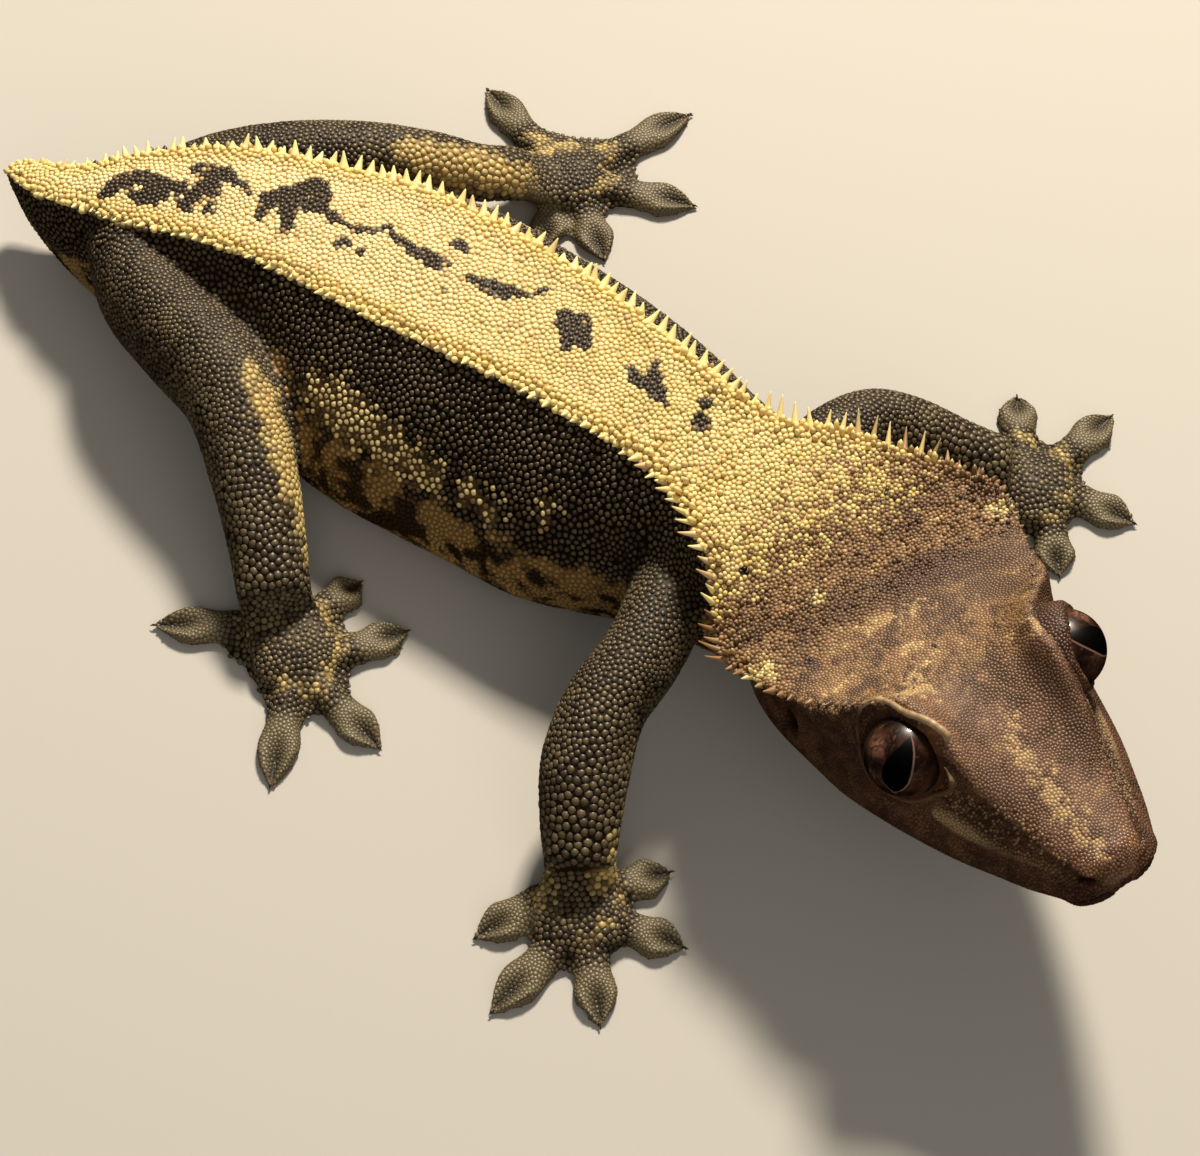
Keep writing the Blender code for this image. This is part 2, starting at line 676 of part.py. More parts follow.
def limb_grid(limb, start, stop):
    """Rings of a limb between two places along its rows, drawn in by half a gap at each end."""
    rows = np.array(LIMBS[limb])
    count = round((stop - start) / LIMB_STEP) + 1
    places = np.linspace(start, stop, count)
    line = smooth_rows(rows, places)
    ahead = smooth_rows(rows, places + 0.05) - smooth_rows(rows, places - 0.05)
    angles = np.linspace(0, 2 * math.pi, LIMB_SIDES, endpoint=False)
    grid = []
    for values, step in zip(line, ahead[:, :3]):
        step = step / np.linalg.norm(step)
        side = np.cross((0, 0, 1.0), step)
        side /= np.linalg.norm(side)
        up = np.cross(step, side)
        wide = values[3] * np.cos(angles)[:, None] * side
        tall = values[4] * np.sin(angles)[:, None] * up
        grid.append(values[:3] + wide + tall)
    grid = np.array(grid)
    if start > 0:
        grid[0] = shift_end(grid[0], grid[1], GAP / 2)
    grid[-1] = shift_end(grid[-1], grid[-2], GAP / 2)
    grid[:, :, 2] = np.maximum(grid[:, :, 2], 0.0)
    return grid


def toe(name, sole, base, tip):
    """One toe: a root in the sole, a narrow base, then a broad flat pad, flat on the floor."""
    sole, base, tip = np.array(sole), np.array(base), np.array(tip)
    length = np.linalg.norm(tip - base)
    ahead = (tip - base) / length
    across = np.array([-ahead[1], ahead[0]])
    shape = ((1, 0), (0.95, 0.5), (0.6, 0.88), (0, 1), (-0.6, 0.88), (-0.95, 0.5), (-1, 0), (0, 0))
    grid = []
    for share, width, height in TOE:
        middle = base + ahead * length * max(share, 0.0)
        if share < 0:
            middle = base + (sole - base) * TOE_ROOT
        ring = [(*(middle + across * width * side), height * up) for side, up in shape]
        grid.append(ring)
    return loft(name, np.array(grid))


def claw(start, tip):
    """Small curved claw at the tip of a toe."""
    ahead = Vector(tip) - Vector(start)
    ahead.normalize()
    mesh = bmesh.new()
    bmesh.ops.create_cone(
        mesh,
        cap_ends=True,
        segments=5,
        radius1=CLAW_RADIUS * MM,
        radius2=0.04 * MM,
        depth=1.4 * CLAW_LENGTH * MM,
    )
    turn = Vector((0, 0, 1)).rotation_difference(Vector((ahead.x, ahead.y, -0.12))).to_matrix()
    middle = Vector((*(Vector(tip) + ahead * 0.25 * CLAW_LENGTH), 0.42)) * MM
    bmesh.ops.transform(mesh, matrix=Matrix.Translation(middle) @ turn.to_4x4(), verts=mesh.verts)
    return mesh_object("claw", mesh)


def foot_node(name, limb):
    """Hand or foot: sole and wrist in one loft, then five toes joined to it."""
    rows = np.array(LIMBS[limb])
    wrist = limb_grid(limb, len(rows) - 1.5, len(rows) - 1)[-1]
    inward = rows[-1, :3] - rows[-2, :3]
    inward = inward / np.linalg.norm(inward)
    wrist = wrist + inward * GAP
    sole = np.array(SOLES[limb])
    front = sole - rows[-1, :2]
    front = front / np.linalg.norm(front)
    side = np.array([-front[1], front[0]])
    angles = np.linspace(0, 2 * math.pi, LIMB_SIDES, endpoint=False)
    grid = [wrist]
    flip = 1 if np.dot(np.cross((0, 0, 1.0), inward)[:2], side) > 0 else -1
    for reach, width, height in SOLE_SECTIONS:
        middle = sole + front * reach
        half = height * SOLE_THICKNESS / 2
        ring = [
            (
                *(middle + side * flip * width * SOLE_RADIUS * math.cos(angle)),
                max(0.0, half + 1.15 * half * math.sin(angle)),
            )
            for angle in angles
        ]
        grid.append(np.array(ring))
    foot = loft(name, np.array(grid))
    toes = []
    for base, tip in TOES[limb]:
        toes.append(toe(name + "_toe", sole, base, tip))
        toes.append(claw(base, tip))
    combine(foot, toes, "UNION")
    return foot


def build():
    """Make every node of the gecko."""
    head_finish = material("head_skin", COLOURS["head"], 0.6)
    back_finish = material("back_skin", COLOURS["back"], 0.7)
    limb_finish = material("limb_skin", COLOURS["limb"], 0.75)
    eye_finish = material("eye_cornea", COLOURS["eye"], 0.08)

    keep(trunk_node("tail", 0, TAIL_JOINT), back_finish)
    keep(trunk_node("pelvis", TAIL_JOINT, PELVIS_JOINT), back_finish)
    keep(trunk_node("torso", PELVIS_JOINT, TORSO_JOINT), back_finish)
    keep(trunk_node("neck", TORSO_JOINT, NECK_JOINT), back_finish)
    keep(head_node(), head_finish)
    for name, side in (("eye_right", -1), ("eye_left", 1)):
        centre = head_point(EYE_CENTRE[0], side * EYE_CENTRE[1], EYE_CENTRE[2])
        keep(ball(name, centre, EYE_RADIUS), eye_finish)
    for limb in LIMBS:
        pair, side = limb.split("_")
        upper, lower, foot = (f"{part}_{side}" for part in LIMB_NODES[pair])
        thick = loft(upper, limb_grid(limb, 0, LIMB_JOINT))
        last = len(LIMBS[limb]) - 1
        thin = loft(lower, limb_grid(limb, LIMB_JOINT, last))
        for length in (thick, thin):
            combine(length, [swollen_trunk(*LIMB_TRUNK[pair])], "DIFFERENCE")
        keep(thick, limb_finish)
        keep(thin, limb_finish)
        keep(foot_node(foot, limb), limb_finish)


for old in list(bpy.data.objects):
    bpy.data.objects.remove(old)
model = bpy.data.collections.new(MODEL_NAME)
guides = bpy.data.collections.new("guides")
bpy.context.scene.collection.children.link(model)
bpy.context.scene.collection.children.link(guides)
build()
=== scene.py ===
# %% [markdown]
# # Building a crested gecko, scale by scale
# This lesson dresses a measured, life-size crested gecko. The solids already have the pose and the
# true sizes, so the work here is what the eye enjoys: one unbroken skin, tens of thousands of
# separate granular scales, the spines of the crest, wet eyes and the markings.
# Everything is worked out in millimetres, in the frame of the solids, and turned to metres last.

# %% Load the measured solids
import math
import random
from time import time

import bmesh
import bpy
import numpy as np
from mathutils import Matrix, Vector, noise
from mathutils.bvhtree import BVHTree
from mathutils.kdtree import KDTree


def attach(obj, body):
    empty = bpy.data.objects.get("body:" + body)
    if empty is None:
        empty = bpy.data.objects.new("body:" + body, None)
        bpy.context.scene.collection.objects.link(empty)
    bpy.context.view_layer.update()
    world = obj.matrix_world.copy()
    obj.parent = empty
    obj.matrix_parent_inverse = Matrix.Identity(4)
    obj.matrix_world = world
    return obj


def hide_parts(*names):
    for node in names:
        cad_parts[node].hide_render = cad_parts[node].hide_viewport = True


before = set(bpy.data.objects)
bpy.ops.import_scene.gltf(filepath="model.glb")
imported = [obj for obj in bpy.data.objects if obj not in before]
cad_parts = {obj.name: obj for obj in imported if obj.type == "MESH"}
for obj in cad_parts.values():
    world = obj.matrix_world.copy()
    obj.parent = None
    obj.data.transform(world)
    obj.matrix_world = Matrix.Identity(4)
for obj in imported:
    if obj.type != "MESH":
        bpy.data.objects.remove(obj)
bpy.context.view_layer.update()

MM = 0.001
SEED = 7

# %% [markdown]
# ## The viewpoint
# A camera can be matched to a photograph by its focal length, its height and the way it looks.
# Here it looks down at 58 degrees from ahead and to the right of the animal. The numbers are in
# millimetres because a camera 0.24 m from a 0.1 m animal is a close-up, where a small error shows.

# %% Place the camera
CAMERA_PLACE = (-104.99, -81.91, 203.53)
CAMERA_RIGHT = (0.6047, -0.7964, 0.0)
CAMERA_FORWARD = (0.422, 0.3205, -0.848)
CAMERA_LENS = 96.0

camera_data = bpy.data.cameras.new("camera")
camera_data.lens = CAMERA_LENS
camera_data.sensor_width = 36.0
camera_data.sensor_fit = "HORIZONTAL"
camera_data.clip_start = 0.01
camera = bpy.data.objects.new("camera", camera_data)
look = Vector(CAMERA_FORWARD).normalized()
across = Vector(CAMERA_RIGHT).normalized()
camera.matrix_world = Matrix((across, across.cross(look), -look)).transposed().to_4x4()
camera.location = Vector(CAMERA_PLACE) * MM
bpy.context.scene.collection.objects.link(camera)
bpy.context.scene.camera = camera
print("camera", round((camera.location.length) / MM), "mm from the middle of the animal")

# %% [markdown]
# ## Measures of the animal
# A lizard's trunk is easy to describe with cross sections: the height of the back, the edge where
# the crest runs, the flank and the belly. A smooth curve through a few such rows gives any section
# in between, so a fine mesh needs no more numbers than a coarse one. These are the same rows that
# the solids were made from, in the same frame, whose origin lies at ORIGIN.

# %% Rows of the trunk and head
ORIGIN = (3.7, 5.0, 0.0)
# y, x; back height; crest half width, height; flank half width, height; belly half width, height.
BODY = (
    (58.2, -0.4, 6.2, 0.5, 5.9, 0.7, 5.2, 0.4, 4.6),
    (56.4, -0.7, 7.6, 1.0, 7.1, 1.4, 5.6, 0.8, 3.8),
    (54.0, -1.1, 8.9, 1.5, 8.4, 2.1, 5.6, 1.3, 2.6),
    (50.5, -1.0, 10.4, 1.9, 9.9, 3.2, 5.6, 2.0, 1.2),
    (47.5, -0.1, 11.9, 2.7, 11.3, 4.6, 5.6, 3.2, 0.0),
    (44.0, 1.1, 13.1, 3.7, 12.5, 5.9, 5.6, 4.2, 0.0),
    (38.0, 3.2, 14.7, 4.7, 14.1, 7.6, 5.8, 5.6, 0.0),
    (32.0, 4.5, 15.7, 5.2, 15.1, 9.8, 5.9, 7.2, 0.0),
    (26.0, 5.5, 16.3, 5.9, 15.7, 12.3, 6.0, 8.8, 0.0),
    (20.0, 6.1, 16.7, 6.1, 16.1, 13.3, 6.0, 9.6, 0.0),
    (14.0, 6.4, 16.9, 5.8, 16.4, 13.1, 6.0, 9.4, 0.0),
    (8.0, 6.5, 17.1, 5.4, 16.6, 12.7, 6.2, 8.8, 0.0),
    (2.0, 6.1, 17.3, 4.9, 16.9, 12.0, 6.5, 7.8, 0.0),
    (-3.5, 5.5, 17.5, 4.6, 17.1, 10.2, 7.2, 6.0, 0.5),
    (-8.0, 4.8, 17.6, 5.2, 17.2, 9.0, 8.4, 4.6, 2.2),
    (-12.6, 4.3, 17.7, 7.6, 17.3, 8.8, 9.4, 4.4, 4.0),
)
LEAN = (0, 0, 0, 0, 0, 0.2, 0.6, 1.1, 1.5, 1.6, 1.6, 1.6, 1.5, 1.0, 0.4, 0)
# Behind the snout; crown height; brow half width, height; temple; upper lip; throat.
HEAD = (
    (34.0, 0.2, 10.1, -0.1, 8.8, -3.2, 9.0, -7.4, 5.2, -11.6),
    (30.6, 0.4, 11.6, 0.0, 9.4, -2.8, 9.8, -7.3, 5.6, -11.5),
    (28.0, 0.7, 11.2, 0.2, 9.3, -2.7, 10.1, -7.0, 5.9, -11.3),
    (25.0, 1.1, 10.2, 0.5, 9.0, -2.6, 10.0, -6.7, 6.0, -10.9),
    (21.5, 1.7, 8.2, 1.7, 8.5, -2.4, 9.7, -6.4, 5.8, -10.3),
    (18.0, 2.3, 5.6, 3.8, 8.0, -2.2, 9.1, -5.8, 5.4, -9.4),
    (14.5, 2.1, 5.2, 3.8, 6.9, -2.2, 8.2, -5.2, 4.9, -8.5),
    (11.0, 1.3, 4.7, 1.5, 5.6, -2.1, 7.1, -4.6, 4.2, -7.5),
    (8.0, 0.6, 3.8, -0.2, 4.5, -2.0, 5.9, -4.1, 3.5, -6.5),
    (5.6, 0.1, 3.1, -0.7, 3.7, -2.0, 4.9, -3.7, 2.8, -5.8),
    (3.4, -0.3, 2.4, -1.0, 2.9, -1.9, 3.8, -3.2, 2.1, -5.0),
)
SNOUT = (-7.8, -48.8, 21.5)
HEAD_YAW, HEAD_PITCH, HEAD_ROLL = 20.2, 7.3, 6.3
SNOUT_TIP, SNOUT_MIDDLE = 1.3, -2.6
SNOUT_STEPS = (0.78, 0.5, 0.24, 0.07)
CREST_ROW = 2 / 7
MOUTH_ROW = 4.42 / 7
EYE_CENTRE = (16.1, 6.5, 0.7)
EYE_RADIUS = 2.8
EYE_AIM = (0.36, 0.82, 0.46)
NECK_PLACE = 16.3

# %% Smooth curves through rows
def smooth_rows(rows, places):
    """Points of a smooth curve through rows of values, at places counted in rows."""
    rows = np.asarray(rows, float)
    ends = np.concatenate([2 * rows[:1] - rows[1:2], rows, 2 * rows[-1:] - rows[-2:-1]])
    places = np.clip(np.asarray(places, float), 0, len(rows) - 1)
    start = np.minimum(places.astype(int), len(rows) - 2)
    part = (places - start).reshape((-1,) + (1,) * (rows.ndim - 1))
    before, here, there, after = (ends[start + step] for step in range(4))
    return 0.5 * (
        2 * here
        + (there - before) * part
        + (2 * before - 5 * here + 4 * there - after) * part**2
        + (3 * here - before - 3 * there + after) * part**3
    )


def blend(value, low, high):
    """Soft step from 0 at low to 1 at high."""
    part = np.clip((np.asarray(value, float) - low) / (high - low), 0, 1)
    return part * part * (3 - 2 * part)


def unit(vectors):
    """Vectors of length one."""
    return vectors / np.maximum(np.linalg.norm(vectors, axis=-1, keepdims=True), 1e-9)


def half_outline(top, crest, crest_z, side, side_z, flank, flank_z, belly, belly_z, shares):
    """Half of a cross section, from the middle of the back to the middle of the belly."""
    low = (flank + belly) / 2 + 0.18 * (flank - belly)
    low_z = belly_z + 0.3 * (flank_z - belly_z)
    shoulder = (0.55 * crest, 0.7 * top + 0.3 * crest_z)
    edge = [(crest, crest_z), (side, side_z), (flank, flank_z), (low, low_z), (belly, belly_z)]
    line = [(-shoulder[0], shoulder[1]), (0, top), shoulder, *edge, (0, belly_z), (-belly, belly_z)]
    curve = smooth_rows(line, 1 + np.asarray(shares) * 7)
    curve[:, 1] = np.maximum(curve[:, 1], belly_z)
    return curve


# %% The head's own directions
def head_axes():
    """Unit vectors of the head: backward along it, to its left, and up."""
    yaw, pitch, roll = (math.radians(angle) for angle in (HEAD_YAW, HEAD_PITCH, HEAD_ROLL))
    back = (math.sin(yaw) * math.cos(pitch), math.cos(yaw) * math.cos(pitch), -math.sin(pitch))
    left = np.array((math.cos(yaw), -math.sin(yaw), 0.0))
    up = np.array((math.sin(yaw) * math.sin(pitch), math.cos(yaw) * math.sin(pitch), math.cos(pitch)))
    tilted_left = left * math.cos(roll) + up * math.sin(roll)
    tilted_up = up * math.cos(roll) - left * math.sin(roll)
    return np.array([back, tilted_left, tilted_up])


AXES = head_axes()


def head_point(behind, side, height):
    """Place in the model of a point given behind the snout, to the left and up."""
    return np.array(SNOUT) + np.array([behind, side, height]) @ AXES


def head_frame(points):
    """The same, the other way round: places in the head for points of the model."""
    return (points - np.array(SNOUT)) @ AXES.T


# %% Sections of the trunk
def trunk_rings(shares):
    """Sections from tail stub to snout, each a ring of points: down the left, up the right."""
    def ring_of(half):
        return np.concatenate([half, half[-2:0:-1] * (-1, 1)])

    centres = np.array([(row[1], row[0]) for row in BODY])
    nape = head_point(HEAD[0][0], 0, 0)[:2]
    line = np.concatenate([2 * centres[:1] - centres[1:2], centres, [nape]])
    rings = []
    for place, row in enumerate(BODY):
        top, crest, crest_z, flank, flank_z, belly, belly_z = row[2:]
        side = crest + 0.62 * (flank - crest)
        side_z = crest_z + 0.45 * (flank_z - crest_z)
        values = (top, crest, crest_z, side, side_z, flank, flank_z, belly, belly_z)
        outline = ring_of(half_outline(*values, shares))
        depth = (crest_z - outline[:, 1]) / (crest_z - flank_z)
        outline[:, 0] -= LEAN[place] * np.clip(depth, 0, 1)
        ahead = unit(line[place + 2] - line[place])
        left = np.array([-ahead[1], ahead[0], 0.0])
        middle = np.array([row[1], row[0], 0.0])
        rings.append(middle + outline[:, :1] * left + outline[:, 1:] * np.array([0, 0, 1.0]))
    outlines = [(row[0], ring_of(half_outline(*row[1:], shares))) for row in HEAD]
    behind, last = outlines[-1]
    for share in SNOUT_STEPS:
        size = math.sqrt(1 - (1 - share) ** 2)
        small = (last - (0, SNOUT_MIDDLE)) * size + (0, SNOUT_MIDDLE)
        outlines.append((SNOUT_TIP + (behind - SNOUT_TIP) * share, small))
    for behind, outline in outlines:
        middle = np.array(SNOUT) + behind * AXES[0]
        rings.append(middle + outline[:, :1] * AXES[1] + outline[:, 1:] * AXES[2])
    return np.array(rings)


LAST_PLACE = len(BODY) + len(HEAD) + len(SNOUT_STEPS) - 1
SHARES = np.linspace(0, 1, 57)
TRUNK_PLACES = np.concatenate([np.arange(0, 15, 0.06), np.arange(15, LAST_PLACE + 0.01, 0.12)])
trunk = smooth_rows(trunk_rings(SHARES), TRUNK_PLACES)
trunk[:, :, 2] = np.maximum(trunk[:, :, 2], 0.0)
print("trunk:", trunk.shape[0], "sections of", trunk.shape[1], "points")

# %% [markdown]
# ## Limbs and feet
# A limb is a row of ellipses along a bent line. A foot is a flat sole with five toes, each a narrow
# stalk that widens to a leaf-shaped climbing pad with a hollow down its middle.
# They are made as separate closed shapes, because a voxel remesh can melt them into the trunk
# afterwards, which gives the soft web between shoulder and flank for nothing.

# %% Rows of the limbs and toes
# x, y, z, half width, half height, from the root inside the body to the wrist or ankle.
LIMBS = {
    "fore_right": (
        (3.0, -6.5, 9.8, 3.2, 3.5), (-3.4, -8.8, 10.2, 3.1, 3.4), (-8.4, -10.0, 10.0, 3.0, 3.3),
        (-12.7, -10.1, 9.1, 3.1, 3.3), (-16.3, -11.2, 7.5, 3.3, 3.2), (-19.2, -12.9, 5.6, 3.0, 2.8),
        (-21.4, -14.5, 3.9, 2.6, 2.2),
    ),
    "fore_left": (
        (6.0, -7.0, 9.5, 3.0, 3.2), (10.5, -9.6, 9.8, 3.0, 3.2), (14.9, -10.3, 9.8, 2.9, 3.1),
        (18.2, -11.3, 8.9, 2.8, 3.0), (20.6, -13.4, 7.2, 2.7, 2.8), (22.6, -16.3, 5.3, 2.4, 2.4),
        (24.2, -19.2, 3.8, 2.4, 2.0),
    ),
    "hind_right": (
        (0.6, 46.6, 7.4, 3.3, 4.2), (-4.4, 40.6, 8.0, 3.6, 4.6), (-6.2, 34.6, 8.4, 3.9, 4.8),
        (-7.8, 28.6, 8.4, 3.9, 4.6), (-11.4, 23.6, 7.2, 3.4, 3.9), (-14.8, 19.6, 5.4, 3.0, 3.2),
        (-17.5, 16.7, 3.9, 2.8, 2.3),
    ),
    "hind_left": (
        (1.5, 47.0, 6.2, 3.2, 3.6), (8.0, 44.4, 6.4, 3.2, 3.7), (12.4, 40.4, 6.8, 3.2, 3.7),
        (16.2, 35.8, 7.0, 3.0, 3.3), (19.4, 31.9, 6.3, 2.6, 2.8), (21.8, 29.0, 5.0, 2.4, 2.4),
        (24.4, 27.0, 3.8, 2.4, 2.0),
    ),
}
SOLES = {
    "fore_right": (-23.4, -16.0), "fore_left": (25.6, -21.9),
    "hind_right": (-19.0, 13.8), "hind_left": (28.2, 24.8),
}
# Base and tip of each toe, outermost first.
TOES = {
    "fore_right": (
        ((-23.8, -13.2), (-29.1, -11.1)), ((-25.6, -16.1), (-32.9, -15.5)),
        ((-25.0, -18.1), (-29.1, -22.1)), ((-22.3, -18.5), (-20.8, -23.3)),
        ((-20.4, -16.5), (-16.6, -19.0)),
    ),
    "fore_left": (
        ((28.8, -18.5), (32.7, -15.8)), ((29.7, -22.0), (35.6, -22.7)),
        ((27.2, -24.1), (28.2, -29.4)), ((24.0, -24.4), (20.8, -27.4)),
        ((23.0, -21.6), (18.6, -22.2)),
    ),
    "hind_right": (
        ((-19.3, 17.8), (-23.5, 23.8)), ((-22.0, 11.8), (-28.6, 8.1)),
        ((-20.4, 9.7), (-21.4, 3.8)), ((-17.1, 11.0), (-12.4, 8.4)),
        ((-14.9, 14.5), (-11.2, 13.9)),
    ),
    "hind_left": (
        ((29.7, 29.2), (32.2, 36.2)), ((32.7, 23.6), (40.2, 21.2)),
        ((29.8, 21.4), (32.7, 15.2)), ((27.1, 22.4), (23.9, 17.7)),
        ((26.1, 24.3), (22.0, 22.4)),
    ),
}
SOLE_RADIUS, SOLE_THICKNESS = 3.5, 2.7
SOLE_SECTIONS = ((-1.6, 0.86, 1.15), (0.6, 1.0, 1.0), (2.4, 0.8, 0.8), (3.3, 0.35, 0.5))
TOE_ROOT = 0.55
# Share of the way from base to tip, half width, thickness.
TOE = (
    (-0.25, 1.5, 2.1), (0.1, 1.4, 1.8), (0.35, 1.52, 1.5), (0.58, 1.78, 1.35),
    (0.76, 1.4, 1.15), (0.9, 0.82, 0.9), (1.04, 0.14, 0.4),
)
# Share of the toe that the web reaches, how far its edge bows in, and its thickness.
WEB_REACH, WEB_BOW, WEB_THICKNESS = 0.6, 0.24, 0.85

# %% Loft the limbs
def limb_grid(limb, places, sides=36):
    """Rings of a limb at places along its rows; the first point faces sideways, a quarter on is up."""
    rows = np.array(LIMBS[limb])
    line = smooth_rows(rows, places)
    ahead = unit((smooth_rows(rows, places + 0.05) - smooth_rows(rows, places - 0.05))[:, :3])
    side = unit(np.cross((0, 0, 1.0), ahead))
    up = np.cross(ahead, side)
    angles = np.linspace(0, 2 * math.pi, sides, endpoint=False)[None, :, None]
    wide = line[:, None, 3:4] * np.cos(angles) * side[:, None]
    tall = line[:, None, 4:5] * np.sin(angles) * up[:, None]
    grid = line[:, None, :3] + wide + tall
    grid[:, :, 2] = np.maximum(grid[:, :, 2], 0.0)
    return grid


def foot_grids(limb):
    """The sole with its wrist, then each toe, as grids of rings."""
    rows = np.array(LIMBS[limb])
    last = len(rows) - 1
    wrist = limb_grid(limb, np.array([last - 0.6, last]))
    inward = unit(rows[-1, :3] - rows[-2, :3])
    sole = np.array(SOLES[limb])
    front = unit(sole - rows[-1, :2])
    side = np.array([-front[1], front[0]])
    flip = 1 if np.dot(np.cross((0, 0, 1.0), inward)[:2], side) > 0 else -1
    angles = np.linspace(0, 2 * math.pi, wrist.shape[1], endpoint=False)[:, None]
    rings = [wrist[0], wrist[1]]
    for reach, width, height in SOLE_SECTIONS:
        half = height * SOLE_THICKNESS / 2
        flat = sole + front * reach + side * flip * width * SOLE_RADIUS * np.cos(angles)
        rings.append(np.concatenate([flat, np.maximum(0.0, half + 1.15 * half * np.sin(angles))], axis=1))
    grids = [smooth_rows(np.array(rings), np.linspace(0, len(rings) - 1, 24))]
    for base, tip in TOES[limb]:
        grids.append(toe_grid(sole, np.array(base), np.array(tip)))
    for first, second in zip(TOES[limb], TOES[limb][1:]):
        grids.append(web_grid(sole, np.array(first), np.array(second)))
    return grids


def web_grid(sole, first, second):
    """Rings of the web between two toes: thin, with an edge that bows in towards the sole."""
    ends = [toe[0] + WEB_REACH * (toe[1] - toe[0]) for toe in (first, second)]
    angles = np.linspace(0, 2 * math.pi, 24, endpoint=False)[:, None]
    rings = []
    for share in np.linspace(0, 1, 13):
        edge = ends[0] * (1 - share) + ends[1] * share
        edge = edge + (sole - edge) * WEB_BOW * 4 * share * (1 - share)
        flat = sole + (edge - sole) * (0.5 + 0.5 * np.cos(angles))
        rise = np.maximum(0.0, WEB_THICKNESS * (0.5 + 0.5 * np.sin(angles)))
        rings.append(np.concatenate([flat, rise], axis=1))
    return np.array(rings)


def toe_grid(sole, base, tip):
    """Rings of one toe: rounded above, flat on the floor."""
    length = np.linalg.norm(tip - base)
    ahead = (tip - base) / length
    across = np.array([-ahead[1], ahead[0]])
    angles = np.linspace(0, 2 * math.pi, 24, endpoint=False)[:, None]
    rings = []
    for share, width, height in smooth_rows(TOE, np.linspace(0, len(TOE) - 1, 25)):
        middle = base + ahead * length * share
        if share < 0:
            middle = base + (sole - base) * TOE_ROOT * min(1.0, share / TOE[0][0])
        flat = middle + across * width * np.sign(np.cos(angles)) * np.abs(np.cos(angles)) ** 0.8
        rise = np.where(np.sin(angles) > 0, height * np.abs(np.sin(angles)) ** 0.8, 0.0)
        rings.append(np.concatenate([flat, rise], axis=1))
    return np.array(rings)


LIMB_PLACES = np.arange(0, 6.01, 0.1)
limbs = {limb: limb_grid(limb, LIMB_PLACES) for limb in LIMBS}
feet = {limb: foot_grids(limb) for limb in LIMBS}
print("limbs:", len(limbs), " toes:", sum(len(toes) for toes in TOES.values()))

# %% [markdown]
# ## One skin
# Real skin has no seam where a leg meets the body. A Boolean union would leave a hard crease, so
# the closed shapes are put in one mesh and remeshed with voxels a third of a millimetre wide, then
# smoothed in a way that doesn't shrink them: one step inward, one slightly longer step outward.

# %% Join the shapes and remesh
SKIN_VOXEL = 0.34


def fill_mesh(mesh, points, groups):
    """Fill a mesh with points and groups of faces, each group an array with one face a row."""
    mesh.vertices.add(len(points))
    mesh.vertices.foreach_set("co", np.asarray(points, np.float32).ravel())
    corners = np.concatenate([np.asarray(group, np.int32).ravel() for group in groups])
    sizes = np.concatenate([np.full(len(group), group.shape[1], np.int32) for group in groups])
    mesh.loops.add(len(corners))
    mesh.loops.foreach_set("vertex_index", corners)
    mesh.polygons.add(len(sizes))
    mesh.polygons.foreach_set("loop_start", np.concatenate([[0], np.cumsum(sizes)[:-1]]).astype(np.int32))
    mesh.polygons.foreach_set("loop_total", sizes)
    mesh.update(calc_edges=True)
    mesh.validate()
    return mesh


def closed_loft(grid):
    """Points and faces of a closed tube through a grid of rings, fanned at both ends."""
    rings, sides = grid.shape[:2]
    points = np.concatenate([grid.reshape(-1, 3), [grid[0].mean(0), grid[-1].mean(0)]])
    ring, side = np.meshgrid(np.arange(rings - 1), np.arange(sides), indexing="ij")
    after = (side + 1) % sides
    quads = np.stack([ring * sides + side, ring * sides + after,
                      (ring + 1) * sides + after, (ring + 1) * sides + side], axis=-1).reshape(-1, 4)
    place = np.arange(sides)
    follow = (place + 1) % sides
    first = np.stack([follow, place, np.full(sides, rings * sides)], axis=1)
    last_ring = (rings - 1) * sides
    last = np.stack([last_ring + place, last_ring + follow, np.full(sides, rings * sides + 1)], axis=1)
    return points, quads, np.concatenate([first, last])


def joined_shapes(grids):
    """One mesh of many closed lofts, in millimetres."""
    points, quads, tris, count = [], [], [], 0
    for grid in grids:
        some, four, three = closed_loft(grid)
        points.append(some)
        quads.append(four + count)
        tris.append(three + count)
        count += len(some)
    mesh = bpy.data.meshes.new("shapes")
    fill_mesh(mesh, np.concatenate(points), [np.concatenate(quads), np.concatenate(tris)])
    work = bmesh.new()
    work.from_mesh(mesh)
    bmesh.ops.recalc_face_normals(work, faces=work.faces)
    work.to_mesh(mesh)
    work.free()
    return mesh


def evaluated(obj):
    """A plain mesh of an object with its modifiers applied."""
    graph = bpy.context.evaluated_depsgraph_get()
    return bpy.data.meshes.new_from_object(obj.evaluated_get(graph))


# The lids close round a ball a little wider than the eye.
LID_RADIUS = 3.15


def lid_ball(side):
    """Rings of the ball that an eye and its lids fill."""
    centre = head_point(EYE_CENTRE[0], side * EYE_CENTRE[1], EYE_CENTRE[2])
    tilt = np.radians(np.linspace(3, 177, 30))[:, None]
    turn = np.linspace(0, 2 * math.pi, 60, endpoint=False)[None]
    ring = np.stack([np.sin(tilt) * np.cos(turn), np.sin(tilt) * np.sin(turn), np.cos(tilt) + 0 * turn], axis=-1)
    return centre + LID_RADIUS * ring


shapes = [trunk, *limbs.values(), lid_ball(-1), lid_ball(1)]
for foot in feet.values():
    shapes.extend(foot)
blank = bpy.data.objects.new("blank", joined_shapes(shapes))
bpy.context.scene.collection.objects.link(blank)
remesh = blank.modifiers.new("melt", "REMESH")
remesh.mode = "VOXEL"
remesh.voxel_size = SKIN_VOXEL
skin_mesh = evaluated(blank)
bpy.data.objects.remove(blank)
print("remeshed skin:", len(skin_mesh.vertices), "points")

